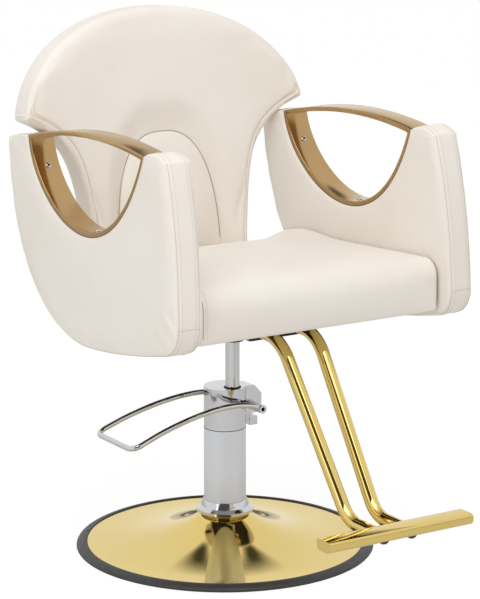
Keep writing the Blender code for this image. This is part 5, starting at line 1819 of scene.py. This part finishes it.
def add_floor():
    colour = settings().studio.floor
    material, shader = new_material("pale_floor", colour, MATT)
    mottle(shader, grain(shader, *FLOOR_SPOTS), colour, darker(colour, FLOOR_DEEP))
    tree = material.node_tree
    glow = tree.nodes.new("ShaderNodeEmission")
    glow.inputs["Strength"].default_value = FLOOR_GLOW
    seen = seen_rays(tree, ("Is Transmission Ray",))
    share = combine(tree, "MULTIPLY", seen, FLOOR_GLOW_SHARE)
    mix_into(tree, "Material Output", share, shader, glow)
    mesh = flat_mesh("studio_floor", FLOOR_REACH, FLOOR_REACH, FLOOR_HEIGHT)
    mesh.materials.append(material)
    floor = new_piece("studio_floor", mesh)


def facing(place, target, axis):
    return (Vector(target) - Vector(place)).to_track_quat(axis, "Y").to_euler()


def add_light(name, place, target, size, energy):
    lamp = bpy.data.lights.new(name, "AREA")
    lamp.shape = "RECTANGLE"
    lamp.size, lamp.size_y = size
    lamp.energy = energy
    light = bpy.data.objects.new(name, lamp)
    bpy.context.scene.collection.objects.link(light)
    light.location = place
    light.rotation_euler = facing(place, target, "-Z")


def soften(material, shader):
    """Lets a card fade out towards its edges."""
    tree = material.node_tree
    place = tree.nodes.new("ShaderNodeTexCoord")
    parts = tree.nodes.new("ShaderNodeSeparateXYZ")
    tree.links.new(place.outputs["Generated"], parts.inputs[0])
    share = CARD_EDGE
    for axis in ("X", "Y"):
        along = parts.outputs[axis]
        left = combine(tree, "SUBTRACT", 1.0, along)
        share = combine(tree, "MULTIPLY", share, combine(tree, "MULTIPLY", along, left))
    clear = tree.nodes.new("ShaderNodeBsdfTransparent")
    mix_into(tree, "Material Output", combine(tree, "MINIMUM", share, 1.0), clear, shader)


def add_card(name, place, size, shade, lean):
    """A dark card that only polished metal sees. One that leans also fades out at its edges."""
    grey = (shade, shade, shade)
    material, shader = new_material(name, grey, MATT)
    mottle(shader, grain(shader, *CARD_SPOTS), grey, darker(grey, CARD_DEEP))
    if lean:
        soften(material, shader)
    mesh = flat_mesh(name, size[0] / 2, size[1] / 2, 0)
    mesh.materials.append(material)
    card = new_piece(name, mesh)
    card.location = place
    card.rotation_euler = facing(place, (0, 0, place[2]), "Z")
    card.rotation_euler.rotate_axis("Z", lean)
    card.visible_camera = False
    card.visible_diffuse = False
    card.visible_shadow = False
    card.visible_transmission = False


def add_camera():
    studio = settings().studio
    lens = bpy.data.cameras.new("camera")
    lens.sensor_width = SENSOR_WIDTH
    lens.sensor_fit = "AUTO"
    lens.lens = studio.lens
    camera = bpy.data.objects.new("camera", lens)
    bpy.context.scene.collection.objects.link(camera)
    camera.location = studio.camera
    camera.rotation_euler = (math.pi / 2 - studio.elevation, 0, studio.azimuth)
    bpy.context.scene.camera = camera


def build_stage():
    """White floor and sky, soft lights, dark cards for the metal, and the camera."""
    bpy.context.scene.view_settings.view_transform = "Standard"
    add_sky()
    add_floor()
    add_light("key_light", *KEY_LIGHT, settings().studio.key)
    add_light("fill_light", *FILL_LIGHT, settings().studio.fill)
    for card in CARDS:
        add_card(*card)
    add_camera()


class CHAIR_OT_dress_seat(bpy.types.Operator):
    """Make the stuffed seat cover"""

    bl_idname = "chair.dress_seat"
    bl_label = "Seat cover"

    def execute(self, context):
        dress_seat()
        return {"FINISHED"}


class CHAIR_OT_dress_back(bpy.types.Operator):
    """Make the stuffed back cover with its sewn border"""

    bl_idname = "chair.dress_back"
    bl_label = "Back cover"

    def execute(self, context):
        dress_back()
        return {"FINISHED"}


class CHAIR_OT_dress_rear_panel(bpy.types.Operator):
    """Make the panel that closes the back behind"""

    bl_idname = "chair.dress_rear_panel"
    bl_label = "Rear panel"

    def execute(self, context):
        dress_rear_panel()
        return {"FINISHED"}


class CHAIR_OT_dress_lumbar(bpy.types.Operator):
    """Make the bulging lumbar pad"""

    bl_idname = "chair.dress_lumbar"
    bl_label = "Lumbar pad"

    def execute(self, context):
        dress_lumbar()
        return {"FINISHED"}


class CHAIR_OT_dress_arms(bpy.types.Operator):
    """Make the two arm covers with their seams"""

    bl_idname = "chair.dress_arms"
    bl_label = "Arm covers"

    def execute(self, context):
        dress_arms()
        return {"FINISHED"}


class CHAIR_OT_dress_straps(bpy.types.Operator):
    """Make the brushed loops in the arms"""

    bl_idname = "chair.dress_straps"
    bl_label = "Arm straps"

    def execute(self, context):
        dress_straps()
        return {"FINISHED"}


class CHAIR_OT_dress_base(bpy.types.Operator):
    """Make the gold base cover and its rubber ring"""

    bl_idname = "chair.dress_base"
    bl_label = "Base"

    def execute(self, context):
        dress_base()
        return {"FINISHED"}


class CHAIR_OT_dress_pump(bpy.types.Operator):
    """Finish the pump column and the ram"""

    bl_idname = "chair.dress_pump"
    bl_label = "Pump and ram"

    def execute(self, context):
        dress_pump()
        return {"FINISHED"}


class CHAIR_OT_dress_lever(bpy.types.Operator):
    """Make the foot lever"""

    bl_idname = "chair.dress_lever"
    bl_label = "Foot lever"

    def execute(self, context):
        dress_lever()
        return {"FINISHED"}


class CHAIR_OT_dress_footrest(bpy.types.Operator):
    """Make the footrest tubes and finish the bar"""

    bl_idname = "chair.dress_footrest"
    bl_label = "Footrest"

    def execute(self, context):
        dress_footrest()
        return {"FINISHED"}


class CHAIR_OT_dress_underside(bpy.types.Operator):
    """Finish the boards, plates and brackets under the seat"""

    bl_idname = "chair.dress_underside"
    bl_label = "Underside"

    def execute(self, context):
        dress_underside()
        return {"FINISHED"}


class CHAIR_OT_build_stage(bpy.types.Operator):
    """Make the studio: floor, sky, lights and camera"""

    bl_idname = "chair.build_stage"
    bl_label = "Studio"

    def execute(self, context):
        build_stage()
        return {"FINISHED"}


OPERATORS = (
    CHAIR_OT_build_stage,
    CHAIR_OT_dress_seat,
    CHAIR_OT_dress_back,
    CHAIR_OT_dress_rear_panel,
    CHAIR_OT_dress_lumbar,
    CHAIR_OT_dress_arms,
    CHAIR_OT_dress_straps,
    CHAIR_OT_dress_base,
    CHAIR_OT_dress_pump,
    CHAIR_OT_dress_lever,
    CHAIR_OT_dress_footrest,
    CHAIR_OT_dress_underside,
)


class CHAIR_PT_dressing(bpy.types.Panel):
    """The chair's pieces and the studio"""

    bl_idname = "CHAIR_PT_dressing"
    bl_label = "Salon chair"
    bl_space_type = "VIEW_3D"
    bl_region_type = "UI"
    bl_category = "Chair"

    def draw(self, context):
        for operator in OPERATORS:
            self.layout.operator(operator.bl_idname)
        for group in ("seat", "back", "lumbar", "arm", "sewing", "metal", "colours", "studio"):
            box = self.layout.box()
            held = getattr(context.scene.salon_chair, group)
            for key in held.__annotations__:
                box.prop(held, key)


CLASSES = (
    SeatSizes,
    BackSizes,
    LumbarSizes,
    ArmSizes,
    SewingSizes,
    MetalSizes,
    FinishColours,
    StudioSizes,
    ChairSettings,
    *OPERATORS,
    CHAIR_PT_dressing,
)


def register():
    for kind in CLASSES:
        bpy.utils.register_class(kind)
    bpy.types.Scene.salon_chair = PointerProperty(type=ChairSettings, name="Salon chair")


def unregister():
    del bpy.types.Scene.salon_chair
    for kind in reversed(CLASSES):
        bpy.utils.unregister_class(kind)


def main():
    register()
    bpy.ops.chair.build_stage()
    bpy.ops.chair.dress_seat()
    bpy.ops.chair.dress_back()
    bpy.ops.chair.dress_rear_panel()
    bpy.ops.chair.dress_lumbar()
    bpy.ops.chair.dress_arms()
    bpy.ops.chair.dress_straps()
    bpy.ops.chair.dress_base()
    bpy.ops.chair.dress_pump()
    bpy.ops.chair.dress_lever()
    bpy.ops.chair.dress_footrest()
    bpy.ops.chair.dress_underside()


if __name__ == "__main__":
    main()
